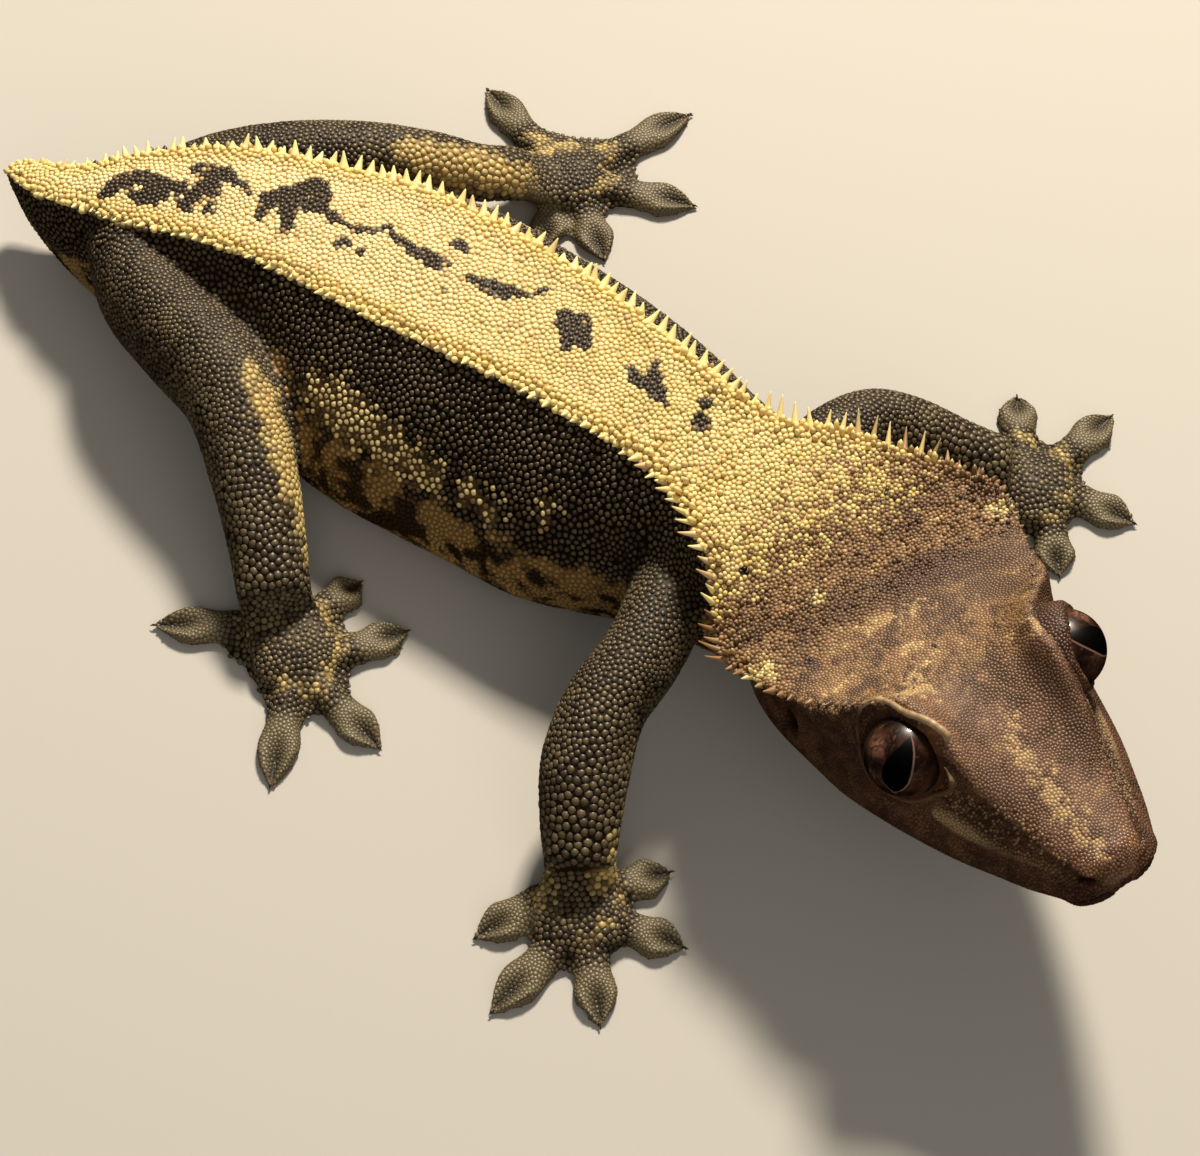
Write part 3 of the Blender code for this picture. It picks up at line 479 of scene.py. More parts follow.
# %% Refine the head and feet and smooth without shrinking
def points_of(mesh):
    """Vertex places of a mesh as an array."""
    points = np.zeros(len(mesh.vertices) * 3, np.float32)
    mesh.vertices.foreach_get("co", points)
    return points.reshape(-1, 3).astype(float)


def neighbour_mean(points, edges):
    """Mean of each point's neighbours along the edges."""
    total = np.zeros_like(points)
    count = np.zeros(len(points))
    for a, b in ((0, 1), (1, 0)):
        for axis in range(3):
            total[:, axis] += np.bincount(edges[:, a], points[edges[:, b], axis], len(points))
        count += np.bincount(edges[:, a], minlength=len(points))
    return total / np.maximum(count, 1)[:, None]


def edges_of(mesh):
    """Vertex pairs of a mesh's edges."""
    edges = np.zeros(len(mesh.edges) * 2, np.int32)
    mesh.edges.foreach_get("vertices", edges)
    return edges.reshape(-1, 2)


def soften(points, edges, rounds, weight=1.0):
    """Smooth points along edges, stepping out after each step in, so nothing shrinks."""
    for turn in range(rounds):
        for step in (0.5, -0.52):
            points = points + (neighbour_mean(points, edges) - points) * step * weight
    return points


# How far a foot reaches from the middle of its sole, and how high.
FOOT_REACH, FOOT_HEIGHT = 13.5, 3.4
centres = np.zeros(len(skin_mesh.polygons) * 3, np.float32)
skin_mesh.polygons.foreach_get("center", centres)
centres = centres.reshape(-1, 3).astype(float)
fine = head_frame(centres)[:, 0] < 30.0
for sole in SOLES.values():
    fine |= (np.linalg.norm(centres[:, :2] - sole, axis=1) < FOOT_REACH) & (centres[:, 2] < FOOT_HEIGHT)
work = bmesh.new()
work.from_mesh(skin_mesh)
for face, is_fine in zip(work.faces, fine.tolist()):
    face.tag = is_fine
fine_edges = [edge for edge in work.edges if all(face.tag for face in edge.link_faces)]
bmesh.ops.subdivide_edges(work, edges=fine_edges, cuts=1, use_grid_fill=True)
work.to_mesh(skin_mesh)
work.free()
edges = edges_of(skin_mesh)
skin = soften(points_of(skin_mesh), edges, 8)
print("skin:", len(skin), "points")

# %% [markdown]
# ## Coordinates on the animal
# A marking or a scale size is easiest to give in the animal's own terms: how far along the body,
# how far round from the middle of the back. So each point of the skin looks up its nearest point
# on the lofts, where both are known. A k-d tree makes that quick.

# %% A chart of the lofts
PARTS = ["trunk", *LIMBS, *("sole_" + limb for limb in LIMBS)]


def trunk_chart():
    """Rows of the chart for the trunk: place along, distance along, distance round, room to the crest."""
    half = trunk[:, :len(SHARES)]
    round_mm = np.concatenate(
        [np.zeros((len(half), 1)), np.cumsum(np.linalg.norm(np.diff(half, axis=1), axis=2), axis=1)], axis=1)
    along_mm = np.concatenate([[0], np.cumsum(np.linalg.norm(np.diff(half[:, 0], axis=0), axis=1))])
    crest = int(np.argmin(np.abs(SHARES - CREST_ROW)))
    inside = round_mm[:, crest:crest + 1] - round_mm
    sides = np.concatenate([np.ones(len(SHARES)), -np.ones(len(SHARES) - 2)])
    mirror = np.concatenate([np.arange(len(SHARES)), np.arange(len(SHARES) - 2, 0, -1)])
    shape = trunk.shape[:2]
    return np.stack([
        np.zeros(shape),
        np.broadcast_to(TRUNK_PLACES[:, None], shape),
        np.broadcast_to(along_mm[:, None], shape),
        round_mm[:, mirror] * sides,
        inside[:, mirror],
        np.broadcast_to(SHARES[mirror], shape),
    ], axis=-1).reshape(-1, 6)


def limb_chart(part, grid, places):
    """Rows of the chart for a limb or a sole: its place along and its angle round."""
    shape = grid.shape[:2]
    turn = np.linspace(0, 1, shape[1], endpoint=False)
    values = [np.full(shape, part), np.broadcast_to(places[:, None], shape), np.zeros(shape),
              np.broadcast_to(turn, shape), np.full(shape, -9.0), np.zeros(shape)]
    return np.stack(values, axis=-1).reshape(-1, 6)


chart_points = [trunk.reshape(-1, 3)]
chart_rows = [trunk_chart()]
for number, limb in enumerate(LIMBS):
    outside = LIMB_PLACES > 0.8
    chart_points.append(limbs[limb][outside].reshape(-1, 3))
    chart_rows.append(limb_chart(1 + number, limbs[limb][outside], LIMB_PLACES[outside]))
    for grid in feet[limb]:
        first = 5 if grid is feet[limb][0] else 0
        chart_points.append(grid[first:].reshape(-1, 3))
        chart_rows.append(limb_chart(5 + number, grid[first:], np.linspace(0, 1, len(grid) - first)))
chart_points = np.concatenate(chart_points)
chart_rows = np.concatenate(chart_rows)
chart_tree = KDTree(len(chart_points))
for index, point in enumerate(chart_points.tolist()):
    chart_tree.insert(point, index)
chart_tree.balance()


def look_up(points):
    """Chart rows of the nearest lofted points: part, place, along, round, inside the crest, share."""
    found = [chart_tree.find(point)[1] for point in points.tolist()]
    return chart_rows[found]


skin_chart = look_up(skin)
print("chart:", len(chart_points), "points; skin on the trunk:", int((skin_chart[:, 0] == 0).sum()))

# %% [markdown]
# ## Carving the face
# The mouth line, the sockets, the nostrils, the ear openings and the folds of the lids are moves
# of the skin's own points along their normals. Each is a short formula of the distance to a line
# or a spot, which stays editable, where a sculpted mesh wouldn't.

# %% Distance to lines
def stroke_depth(points, stroke):
    """How deep each point lies inside a brush stroke: radius less distance, in the stroke's units."""
    stroke = np.asarray(stroke, float)
    best = np.full(len(points), -99.0)
    if len(stroke) == 1:
        stroke = np.concatenate([stroke, stroke])
    for start, end in zip(stroke, stroke[1:]):
        run = end[:-1] - start[:-1]
        part = np.clip((points - start[:-1]) @ run / max(run @ run, 1e-9), 0, 1)
        gap = np.linalg.norm(points - start[:-1] - part[:, None] * run, axis=1)
        best = np.maximum(best, start[-1] + (end[-1] - start[-1]) * part - gap)
    return best


def normals_of(mesh, points):
    """Vertex normals of a mesh with its points moved."""
    mesh.vertices.foreach_set("co", points.astype(np.float32).ravel())
    mesh.update()
    normals = np.zeros(len(points) * 3, np.float32)
    mesh.vertices.foreach_get("normal", normals)
    return normals.reshape(-1, 3).astype(float)


# %% Carve mouth, nostrils, ears and sockets
LIP_CORNER = 22.0
# A nostril is a slit from one place to another, an ear opening a spot; behind the snout, to the side, up.
NOSTRIL = ((3.0, 2.6, -1.75, 0.0), (2.2, 2.15, -1.6, 0.0))
EAR = ((26.4, 9.6, -5.0, 0.0),)
# Angle from the way the eye looks to its rim, from straight ahead over the top to the back and below.
EYE_OPENING = {
    -1: (82, 83, 80, 90, 80, 76, 76, 80),
    1: (71, 64, 53, 56, 62, 72, 78, 82),
}
SOCKET_RADIUS = 2.55
COAT_DEPTH = 0.17


def mouth_line(side):
    """The line of the mouth on one side, from its corner to the tip of the snout."""
    rings = trunk_rings(np.array([0.0, MOUTH_ROW, 1.0]))
    line = smooth_rows(rings, np.arange(19.0, LAST_PLACE, 0.1))[:, 1 if side > 0 else 3]
    return line[head_frame(line)[:, 0] < LIP_CORNER]


def eye_axes(side, aim=EYE_AIM):
    """Centre of an eye and its directions: across, up and the way it looks."""
    centre = head_point(EYE_CENTRE[0], side * EYE_CENTRE[1], EYE_CENTRE[2])
    gaze = unit(np.array([-aim[0], side * aim[1], aim[2]])) @ AXES
    up = unit(AXES[2] - gaze * (AXES[2] @ gaze))
    return centre, np.array([np.cross(up, gaze) * -side, up, gaze])


def opening(side, turn):
    """Angle of the rim from the gaze, at a turn from straight ahead over the top, in radians."""
    table = np.array(EYE_OPENING[side], float)
    return smooth_rows(np.concatenate([table[-1:], table, table[:2]]), 1 + np.mod(turn, 2 * math.pi) * 4 / math.pi)


def about_eye(points, side):
    """Distance from an eye's centre, angle from its gaze, and turn round it, for points."""
    centre, axes = eye_axes(side)
    reach = points - centre
    far = np.linalg.norm(reach, axis=1)
    local = (reach @ axes.T) / np.maximum(far, 1e-6)[:, None]
    angle = np.degrees(np.arccos(np.clip(local[:, 2], -1, 1)))
    return far, angle, np.arctan2(local[:, 1], local[:, 0])


mouth_gap = np.full(len(skin), 99.0)
for side in (-1, 1):
    line = mouth_line(side)
    stroke = np.concatenate([line, np.zeros((len(line), 1))], axis=1)
    mouth_gap = np.minimum(mouth_gap, -stroke_depth(skin, stroke))
normals = normals_of(skin_mesh, skin)
place = head_frame(skin)
on_head = (skin_chart[:, 0] == 0) & (skin_chart[:, 1] > NECK_PLACE - 1)
fade = blend(place[:, 0], LIP_CORNER + 1.5, LIP_CORNER - 2.5)
# The edge of the head bulges behind each eye; behind the snout, to the side, up.
wide = np.exp(-((place[:, 0] - 21.2) / 2.4) ** 2 - ((np.abs(place[:, 1]) - 8.6) / 2.0) ** 2)
wide = wide * blend(place[:, 2], -4.5, -2.5) * on_head
skin = skin + (AXES[1] * np.sign(place[:, 1:2]) * 1.0 + AXES[2] * 0.1) * wide[:, None]
# A pale, swollen ridge runs from below the eye to the nostril, over a smooth lip.
RIDGE = ((12.9, 6.6, -2.6, 0.5), (11.6, 6.1, -2.65, 0.6), (10.2, 5.7, -2.65, 0.45), (8.0, 4.9, -2.5, 0.3),
         (4.4, 3.2, -1.9, 0.15))
mirrored = place * (1, 0, 1) + np.abs(place) * (0, 1, 0)
swell = blend(-stroke_depth(mirrored, RIDGE), 0.3, -0.3) * on_head
skin = skin + normals * (0.3 * swell)[:, None]
lips = 0.16 * np.exp(-((mouth_gap - 0.55) / 0.4) ** 2) - 0.42 * np.exp(-(mouth_gap / 0.2) ** 2)
skin = skin + normals * (lips * fade * on_head)[:, None]
# The mouth line, nostrils and ear openings are painted near black later on: painted shade in these shallow dents.
pit = np.exp(-(mouth_gap / 0.22) ** 2) * fade * on_head
for slit, radius, depth in ((NOSTRIL, 0.2, 0.5), (EAR, 0.75, 0.9)):
    gap = -stroke_depth(mirrored, slit) / radius
    dent = np.exp(-(gap / 1.15) ** 4)
    rim = 0.18 * np.exp(-((gap - 1.9) / 0.6) ** 2)
    skin = skin + normals * ((rim * radius - depth * dent) * on_head)[:, None]
    pit = np.maximum(pit, dent * on_head)
skin = skin - normals * COAT_DEPTH
for side in (-1, 1):
    far, angle, turn = about_eye(skin, side)
    edge = opening(side, turn)
    near = blend(far, 4.2, 3.6) * on_head
    least = 3.05 + 0.27 * blend(angle - edge, 0, 9)
    wanted = np.where(angle < edge, SOCKET_RADIUS, np.maximum(far, least))
    skin = skin + unit(skin - eye_axes(side)[0]) * ((wanted - far) * near)[:, None]
skin[:, 2] = np.maximum(skin[:, 2], 0.04)
print("carved", int((pit > 0.5).sum()), "points of mouth, nostrils and ears")

# %% Hollow the toe pads
def toe_places(points, limb, toe):
    """Share along a toe, distance across it and its half width there, for points near a foot."""
    base, tip = (np.array(end) for end in TOES[limb][toe])
    length = np.linalg.norm(tip - base)
    ahead = (tip - base) / length
    share = (points[:, :2] - base) @ ahead / length
    across = (points[:, :2] - base) @ np.array([-ahead[1], ahead[0]])
    rows = np.array(TOE)
    return share, across, np.interp(share, rows[:, 0], rows[:, 1])


pad = np.zeros(len(skin))
hollow = np.zeros(len(skin))
margin = np.zeros(len(skin))
for number, limb in enumerate(LIMBS):
    mine = np.flatnonzero(skin_chart[:, 0] == 5 + number)
    for toe in range(5):
        share, across, wide = toe_places(skin[mine], limb, toe)
        on_toe = (share < 1.1) & (np.abs(across) < 1.25 * wide)
        pad[mine] = np.maximum(pad[mine], blend(share, 0.15, 0.4) * on_toe)
        cup = blend(share, 0.4, 0.75) * on_toe
        shaded_groove = np.exp(-(across / (0.36 * wide)) ** 2) * cup
        hollow[mine] = np.maximum(hollow[mine], shaded_groove)
        edge = np.exp(-((np.abs(across) / wide - 0.78) / 0.2) ** 2) * cup * blend(share, 1.05, 0.9)
        margin[mine] = np.maximum(margin[mine], edge)
# The hollow down each pad is also painted darker later on: painted shade in the crease.
top_side = blend(skin[:, 2], 0.3, 0.7)
skin[:, 2] += (0.3 * margin - 0.68 * hollow * np.minimum(1, skin[:, 2])) * top_side
hollow *= top_side
print("pads:", int((pad > 0.5).sum()), "points")

# %% [markdown]
# ## Markings
# The pattern of this animal is a cream band along the back between the two crests, with dark
# blotches in it, nearly black flanks, a cream-spotted and tan lower edge, olive limbs with yellow
# edges and a mauve-brown head. Each is stored on the skin as a number, such as the depth in
# millimetres inside a blotch, and the finish turns those numbers into colours. The scales take
# the number at their root, so skin and scales always carry the same pattern. One number, dark,
# is no marking but painted shade: near black in the mouth line, nostrils and ears, and darker
# down the hollow of each toe pad.

# %% Strokes of the pattern, in millimetres
# Blotches on the back: along the back from the stub, to the left of its middle, radius.
BLOTCHES = (
    ((12.7, -1.4, 0.5), (13.8, -0.2, 0.8), (15.4, 0.5, 0.7), (17.0, -0.3, 0.8), (19.2, -0.4, 0.5)),
    ((15.3, -1.3, 0.4), (17.1, -1.7, 0.5), (18.1, -1.3, 0.4)),
    ((19.6, 1.7, 0.5), (21.4, 1.5, 0.7), (23.1, 1.0, 0.5), (25.1, 0.1, 0.12)),
    ((21.6, 1.2, 0.8), (20.9, -0.5, 0.8), (20.3, -1.9, 0.5), (20.9, -2.5, 0.3)),
    ((21.9, 0.2, 0.6), (22.5, -2.2, 0.3)),
    ((26.4, 0.2, 0.5), (27.6, 1.0, 0.7), (28.4, 0.2, 0.8), (29.2, -2.0, 0.4)),
    ((26.6, 0.0, 0.5), (26.9, -1.7, 0.35)),
    ((28.0, 1.0, 0.6), (29.2, 2.6, 0.7), (30.5, 1.9, 0.5), (30.4, 0.7, 0.6), (29.2, 0.5, 0.5)),
    ((30.6, 0.8, 0.3), (32.4, 0.1, 0.2), (34.3, 0.0, 0.2), (35.5, 0.3, 0.22), (36.4, 1.1, 0.2),
     (37.7, 0.4, 0.24), (39.5, 0.3, 0.4), (41.0, 0.1, 0.6), (41.8, 0.3, 0.45)),
    ((34.0, -1.6, 0.35), (35.0, -1.6, 0.25)),
    ((35.8, -1.9, 0.3),),
    ((41.7, 2.6, 0.5), (42.2, 2.6, 0.45)),
    ((43.4, -1.7, 0.2),),
    ((44.4, 0.4, 0.3), (46.0, 0.5, 0.5), (47.9, 1.0, 0.45), (48.8, 1.5, 0.2), (49.4, 2.6, 0.12)),
    ((51.9, 1.5, 0.5), (53.3, 0.8, 1.2), (54.5, 0.3, 0.6)),
    ((53.1, 2.1, 0.4), (53.3, 0.8, 1.0), (53.6, -0.8, 0.4)),
    ((58.5, 0.4, 0.3), (59.9, 0.4, 0.55), (61.2, 0.5, 0.6), (62.5, 0.1, 0.2)),
    ((59.8, 2.3, 0.2), (60.4, 1.4, 0.4), (60.9, 0.4, 0.5)),
    ((64.6, 2.1, 0.4),),
    ((65.4, 0.9, 0.5), (66.0, 0.4, 0.45)),
)
# How far the pigment has spread past each stroke.
BLOTCH_SPREAD = 0.14
# Black pits on the neck and crown: behind the snout, to the left, radius.
PITS = ((34.4, 5.1, 0.3), (35.1, -6.5, 0.32), (26.2, -7.2, 0.25), (21.3, -0.3, 0.22))
# Pale patches there: behind the snout, to the left, radius.
PALE = ((35.1, -7.2, 1.0), (27.6, -10.0, 1.1), (28.2, 10.3, 1.0), (30.4, -3.8, 0.7))
# Dusky and golden clouds of the head: behind the snout, to the left, radius.
DUSK = (
    ((28.3, -3.2, 1.3), (27.7, 0.0, 1.4), (27.0, 3.8, 1.7), (23.9, 9.0, 1.4)),
    ((23.5, 5.2, 1.4), (21.8, 6.5, 0.9)),
    ((15.4, 3.2, 1.1), (12.9, 3.7, 1.1), (8.5, 3.3, 0.8)),
    ((11.0, -3.4, 0.9), (8.8, -3.1, 0.7)),
)
GOLD = (
    ((20.1, -2.5, 0.9), (18.8, -4.6, 1.1), (18.4, -3.0, 0.9)),
    ((14.2, 0.2, 0.5), (10.9, -0.6, 0.9), (9.0, -0.6, 1.0), (5.7, -0.7, 1.0), (3.3, -0.5, 0.8)),
    ((17.2, 5.4, 1.0),),
    ((25.6, -2.5, 0.8), (25.2, 1.0, 0.7)),
)
# Cream spots on the lower flank: along the back, round from its middle, radius.
SPOTS = (
    ((37.0, 11.8, 0.7), (39.5, 12.4, 1.4), (42.8, 12.9, 1.3), (46.1, 13.2, 1.1), (50.0, 13.4, 0.7)),
    ((53.0, 13.2, 0.5), (56.4, 13.4, 0.6)),
    ((60.0, 11.4, 0.5),),
)
# Where the dark flank ends and the tan belly starts: place along the rows, distance round.
BELLY_EDGE = ((3.0, 7.0), (6.0, 10.5), (7.6, 11.6), (8.1, 13.1), (9.2, 15.0), (11.0, 15.4),
              (12.6, 14.3), (14.5, 13.0), (16.5, 15.5))
# Yellow and cream edges of the limbs, in the frame of the solids: x, y, z, radius.
YELLOW = (
    ((-7.3, 26.4, 12.2, 1.0), (-9.2, 22.6, 10.4, 1.7), (-11.0, 19.6, 8.0, 2.0), (-13.4, 16.6, 5.0, 1.5)),
    ((17.6, 32.4, 9.2, 1.3), (19.4, 29.6, 7.8, 2.0), (21.6, 27.4, 6.6, 2.0), (23.4, 25.6, 4.6, 1.5)),
    ((-20.6, -16.4, 3.4, 1.3), (-19.2, -14.6, 5.0, 1.2)),
    ((-24.6, -13.0, 2.8, 1.4),),
    ((24.0, 30.5, 3.6, 1.2), (31.5, 26.5, 2.2, 1.5)),
)

# %% Numbers for the pattern on every point of the skin
def deepest(points, strokes):
    """Depth inside the nearest of several strokes."""
    return np.max([stroke_depth(points, stroke) for stroke in strokes], axis=0)


def web_strokes(limb):
    """Strokes between the bases of neighbouring toes, where the skin is yellow."""
    bases = [base for base, tip in TOES[limb]]
    return [((*a, 1.6, 0.9), (*b, 1.6, 0.9)) for a, b in zip(bases, bases[1:])]


part, along_row, along_mm, round_mm, inside_crest, share = skin_chart.T
on_trunk = (part == 0).astype(float)
crown = blend(along_row, 14.0, 18.0) * on_trunk
back_place = np.stack([along_mm, round_mm], axis=1)
flank_place = np.stack([along_mm, np.abs(round_mm)], axis=1)
nape_place = place[:, :2]
limb_yellow = deepest(skin, YELLOW)
for limb in LIMBS:
    limb_yellow = np.maximum(limb_yellow, deepest(skin, web_strokes(limb)) - 0.45)
# The skin glistens beside the nostrils; behind the snout, to the side, up.
WET = (2.5, 1.8, -1.0)
wet = np.exp(-(np.linalg.norm(mirrored - WET, axis=1) / 1.2) ** 2)
edge_rows = np.array(BELLY_EDGE)
belly_mm = np.abs(round_mm) - np.interp(along_row, edge_rows[:, 0], edge_rows[:, 1])
MARKS = {
    "band": np.where(on_trunk > 0, inside_crest, -9.0),
    "blotch": np.where(on_trunk > 0, deepest(back_place, BLOTCHES) + BLOTCH_SPREAD, -9.0),
    "pit_spot": np.where(on_trunk > 0, deepest(nape_place, [(spot,) for spot in PITS]), -9.0),
    "pale": np.where((on_trunk > 0) & (inside_crest > -1), deepest(nape_place, [(spot,) for spot in PALE]), -9.0),
    "dusk": np.where(crown > 0, deepest(nape_place, DUSK), -9.0),
    "gold": np.where(crown > 0, deepest(nape_place, GOLD), -9.0),
    "spots": np.where(on_trunk > 0, deepest(flank_place, SPOTS), -9.0),
    "belly": np.where(on_trunk > 0, belly_mm, -9.0),
    "yellow": np.where(on_trunk > 0, -9.0, limb_yellow),
    "crown": crown,
    "snout": blend(along_row, 19.5, 23.0) * on_trunk,
    "face": blend(along_row, 15.5, 17.5) * on_trunk,
    "limb": (1.0 - on_trunk) * np.where(part <= 4, 0.25 + 0.75 * blend(along_row, 1.5, 4.5), 1.0),
    "pad": pad,
    "lip": swell * (0.35 + 0.65 * blend(place[:, 0], 8.5, 10.5)),
    "wet": wet * on_trunk,
    "pallor": blend(along_mm, 62, 30) * blend(inside_crest, 0.8, 2.4) * on_trunk,
    # Painted shade, not a marking: near black in the mouth line, nostrils and ears, darker down each pad's hollow.
    "dark": np.maximum(pit, 0.8 * hollow),
}
print("marks:", ", ".join(MARKS))

# %% [markdown]
# ## The finish of gecko skin
# The skin is dry keratin over pigment cells, so it is a plain dielectric: an IOR near 1.5, no
# metal, and a roughness that makes each granule catch a small soft light on its top. Its colours
# come from a palette, mixed by the stored numbers. Noise of about a millimetre frays each edge,
# and every scale draws its own tone, which is what makes it read as separate grains. Painted
# shade darkens the low part of each scale and the bare skin between them.

# %% Colours and a node helper
def linear(code):
    """Linear colour, with alpha, of an sRGB hex code."""
    values = [int(code[at:at + 2], 16) / 255 for at in (1, 3, 5)]
    return (*(v / 12.92 if v <= 0.04045 else ((v + 0.055) / 1.055) ** 2.4 for v in values), 1.0)


PALETTE = {
    "flank": "#1d150d",
    # Grey of the flank granule tops: partly their own paler colour, partly a painted highlight.
    "flank_grey_and_highlight": "#5d503a",
    "flank_spot": "#d8c890",
    "limb_groove_shade": "#2a2217",
    "limb": "#41372a",
    "limb_pale": "#6a5f46",
    "belly": "#8b7143",
    "belly_dark": "#2d1f0d",
    "cream": "#e0d297",
    "cream_white": "#f1e5b6",
    "straw": "#d4be76",
    "lemon": "#e7d088",
    "blotch": "#40362a",
    "yellow": "#c6b276",
    "tan": "#876a49",
    "gold": "#bfa678",
    "brown": "#553d27",
    "mauve": "#725544",
    "dusk": "#50392a",
    "face": "#3d281b",
    "face_pale": "#60432e",
    "lip": "#9c8766",
    "pad": "#746d57",
    # The black of the pits on the neck, also used for the painted shade in the openings and pad hollows.
    "pit": "#0c0806",
}


def node(tree, kind, settings=None, **links):
    """Add a node, set its properties, and link or set its inputs by name or number."""
    made = tree.nodes.new(kind)
    for name, value in (settings or {}).items():
        setattr(made, name, value)
    for name, value in links.items():
        socket = made.inputs[int(name[1:])] if name[0] == "i" and name[1:].isdigit() else made.inputs[name]
        if isinstance(value, bpy.types.NodeSocket):
            tree.links.new(value, socket)
        elif isinstance(value, bpy.types.Node):
            tree.links.new(value.outputs[0], socket)
        else:
            socket.default_value = value
    return made


# %% The pattern as nodes
def pattern_colour(tree):
    """Colour of the skin at its root place, from the stored marks, and the grain's own tone."""
    marks = {name: node(tree, "ShaderNodeAttribute", {"attribute_name": name}).outputs["Fac"] for name in MARKS}
    root = node(tree, "ShaderNodeAttribute", {"attribute_name": "root"}).outputs["Vector"]
    tone = node(tree, "ShaderNodeAttribute", {"attribute_name": "tone"}).outputs["Fac"]
    lift = node(tree, "ShaderNodeAttribute", {"attribute_name": "lift"}).outputs["Fac"]

    def math_of(kind, first, second=0.0, third=0.0):
        return node(tree, "ShaderNodeMath", {"operation": kind}, i0=first, i1=second, i2=third).outputs[0]

    def wave(size_mm, detail=2.0):
        noise = node(tree, "ShaderNodeTexNoise", None, Vector=root, Scale=1.0 / size_mm, Detail=detail)
        return math_of("SUBTRACT", noise.outputs["Fac"], 0.5)

    def ramp(value, low, high):
        made = node(tree, "ShaderNodeMapRange", {"interpolation_type": "SMOOTHSTEP"}, Value=value)
        made.inputs["From Min"].default_value = low
        made.inputs["From Max"].default_value = high
        return made.outputs["Result"]

    def mixed(factor, first, second):
        made = node(tree, "ShaderNodeMix", {"data_type": "RGBA"}, i0=factor)
        for place, value in ((6, first), (7, second)):
            if isinstance(value, str):
                made.inputs[place].default_value = linear(PALETTE[value])
            else:
                tree.links.new(value, made.inputs[place])
        return made.outputs[2]

    def times(first, second):
        return math_of("MULTIPLY", first, second)

    fray = wave(1.1)
    patch = wave(3.5)
    grain = wave(0.4, 1.0)
    speck = math_of("SUBTRACT", tone, 0.5)
    calm = times(speck, math_of("MULTIPLY_ADD", marks["crown"], -0.75, 1.0))
    grey = math_of("ADD", math_of("MULTIPLY_ADD", patch, 1.2, 0.35), speck)
    even = math_of("MULTIPLY_ADD", speck, -0.6, grey)
    # Flank granules: the grey on their tops is partly their own paler colour and partly a painted highlight; their
    # bases and the gaps keep the dark flank colour.
    granule = times(ramp(lift, 0.15, 0.95), ramp(even, -0.35, 0.75))
    colour = mixed(granule, "flank", "flank_grey_and_highlight")
    # Olive limb scales, with painted shade at their bases and in the gaps between them.
    olive = mixed(ramp(lift, 0.0, 0.45), "limb_groove_shade", mixed(ramp(even, 0.0, 0.9), "limb", "limb_pale"))
    colour = mixed(marks["limb"], colour, olive)
    tan = mixed(ramp(math_of("MULTIPLY_ADD", patch, 2.0, times(fray, 1.5)), -0.25, 0.15), "belly_dark", "belly")
    belly = math_of("MULTIPLY_ADD", fray, 2.5, math_of("MULTIPLY_ADD", patch, 4.0, marks["belly"]))
    colour = mixed(ramp(belly, -0.5, 0.6), colour, tan)
    spots = math_of("MULTIPLY_ADD", speck, 2.2, math_of("MULTIPLY_ADD", fray, 3.0, marks["spots"]))
    colour = mixed(times(ramp(spots, -0.6, 0.4), 0.6), colour, "belly")
    # Cream only on the tops of the granules; their bases keep the darker colour below, as painted shade between the
    # spots.
    colour = mixed(times(ramp(spots, -0.4, 1.0), ramp(lift, 0.3, 0.8)), colour, "flank_spot")
    yellow = math_of("MULTIPLY_ADD", speck, 0.7, math_of("MULTIPLY_ADD", fray, 3.0, marks["yellow"]))
    colour = mixed(times(ramp(yellow, -0.5, 1.1), 0.85), colour, "yellow")
    colour = mixed(times(marks["pad"], 0.85), colour, "pad")
    jaw = math_of("MULTIPLY_ADD", speck, 0.25, math_of("ADD", patch, fray))
    colour = mixed(marks["face"], colour, mixed(ramp(jaw, -0.3, 0.4), "face", "face_pale"))
    cream = mixed(ramp(math_of("ADD", patch, times(speck, 0.5)), -0.4, 0.2), "straw", "cream")
    cream = mixed(times(ramp(marks["band"], 1.7, 0.3), 0.8), cream, "lemon")
    cream = mixed(times(marks["pallor"], 0.7), cream, "cream_white")
    blotch = math_of("MULTIPLY_ADD", fray, 0.8, marks["blotch"])
    cream = mixed(ramp(blotch, -0.05, 0.1), cream, "blotch")
    fleck = math_of("MULTIPLY_ADD", patch, 2.4, math_of("MULTIPLY_ADD", fray, 1.8, times(grain, 1.2)))
    fleck = math_of("MULTIPLY_ADD", calm, 0.9, fleck)
    warm = mixed(ramp(fleck, -0.4, 0.2), "brown", "tan")
    warm = mixed(ramp(fleck, 0.3, 0.75), warm, "gold")
    mauve = mixed(ramp(fleck, -0.6, 0.1), "brown", "mauve")
    mauve = mixed(ramp(fleck, 0.15, 0.6), mauve, "tan")
    top = mixed(ramp(math_of("MULTIPLY_ADD", patch, 1.6, marks["snout"]), 0.2, 0.8), warm, mauve)
    dusk = math_of("MULTIPLY_ADD", patch, 2.0, math_of("MULTIPLY_ADD", fray, 2.0, marks["dusk"]))
    top = mixed(times(ramp(dusk, -0.4, 0.8), 0.75), top, "dusk")
    gold = math_of("MULTIPLY_ADD", grain, 3.0, math_of("MULTIPLY_ADD", fray, 3.0, marks["gold"]))
    gold = math_of("MULTIPLY_ADD", calm, 1.4, gold)
    top = mixed(times(ramp(gold, 0.1, 1.0), 0.6), top, "gold")
    noise = math_of("MULTIPLY_ADD", patch, 1.2, math_of("MULTIPLY_ADD", fray, 1.8, times(speck, 1.1)))
    crown = ramp(math_of("MULTIPLY_ADD", marks["crown"], 1.8, noise), 0.4, 0.85)
    top = mixed(crown, cream, top)
    pale = math_of("MULTIPLY_ADD", speck, 1.0, marks["pale"])
    top = mixed(times(ramp(pale, -0.1, 0.7), 0.75), top, "cream")
    band = math_of("MULTIPLY_ADD", fray, 0.7, marks["band"])
    colour = mixed(ramp(band, -0.35, -0.05), colour, top)
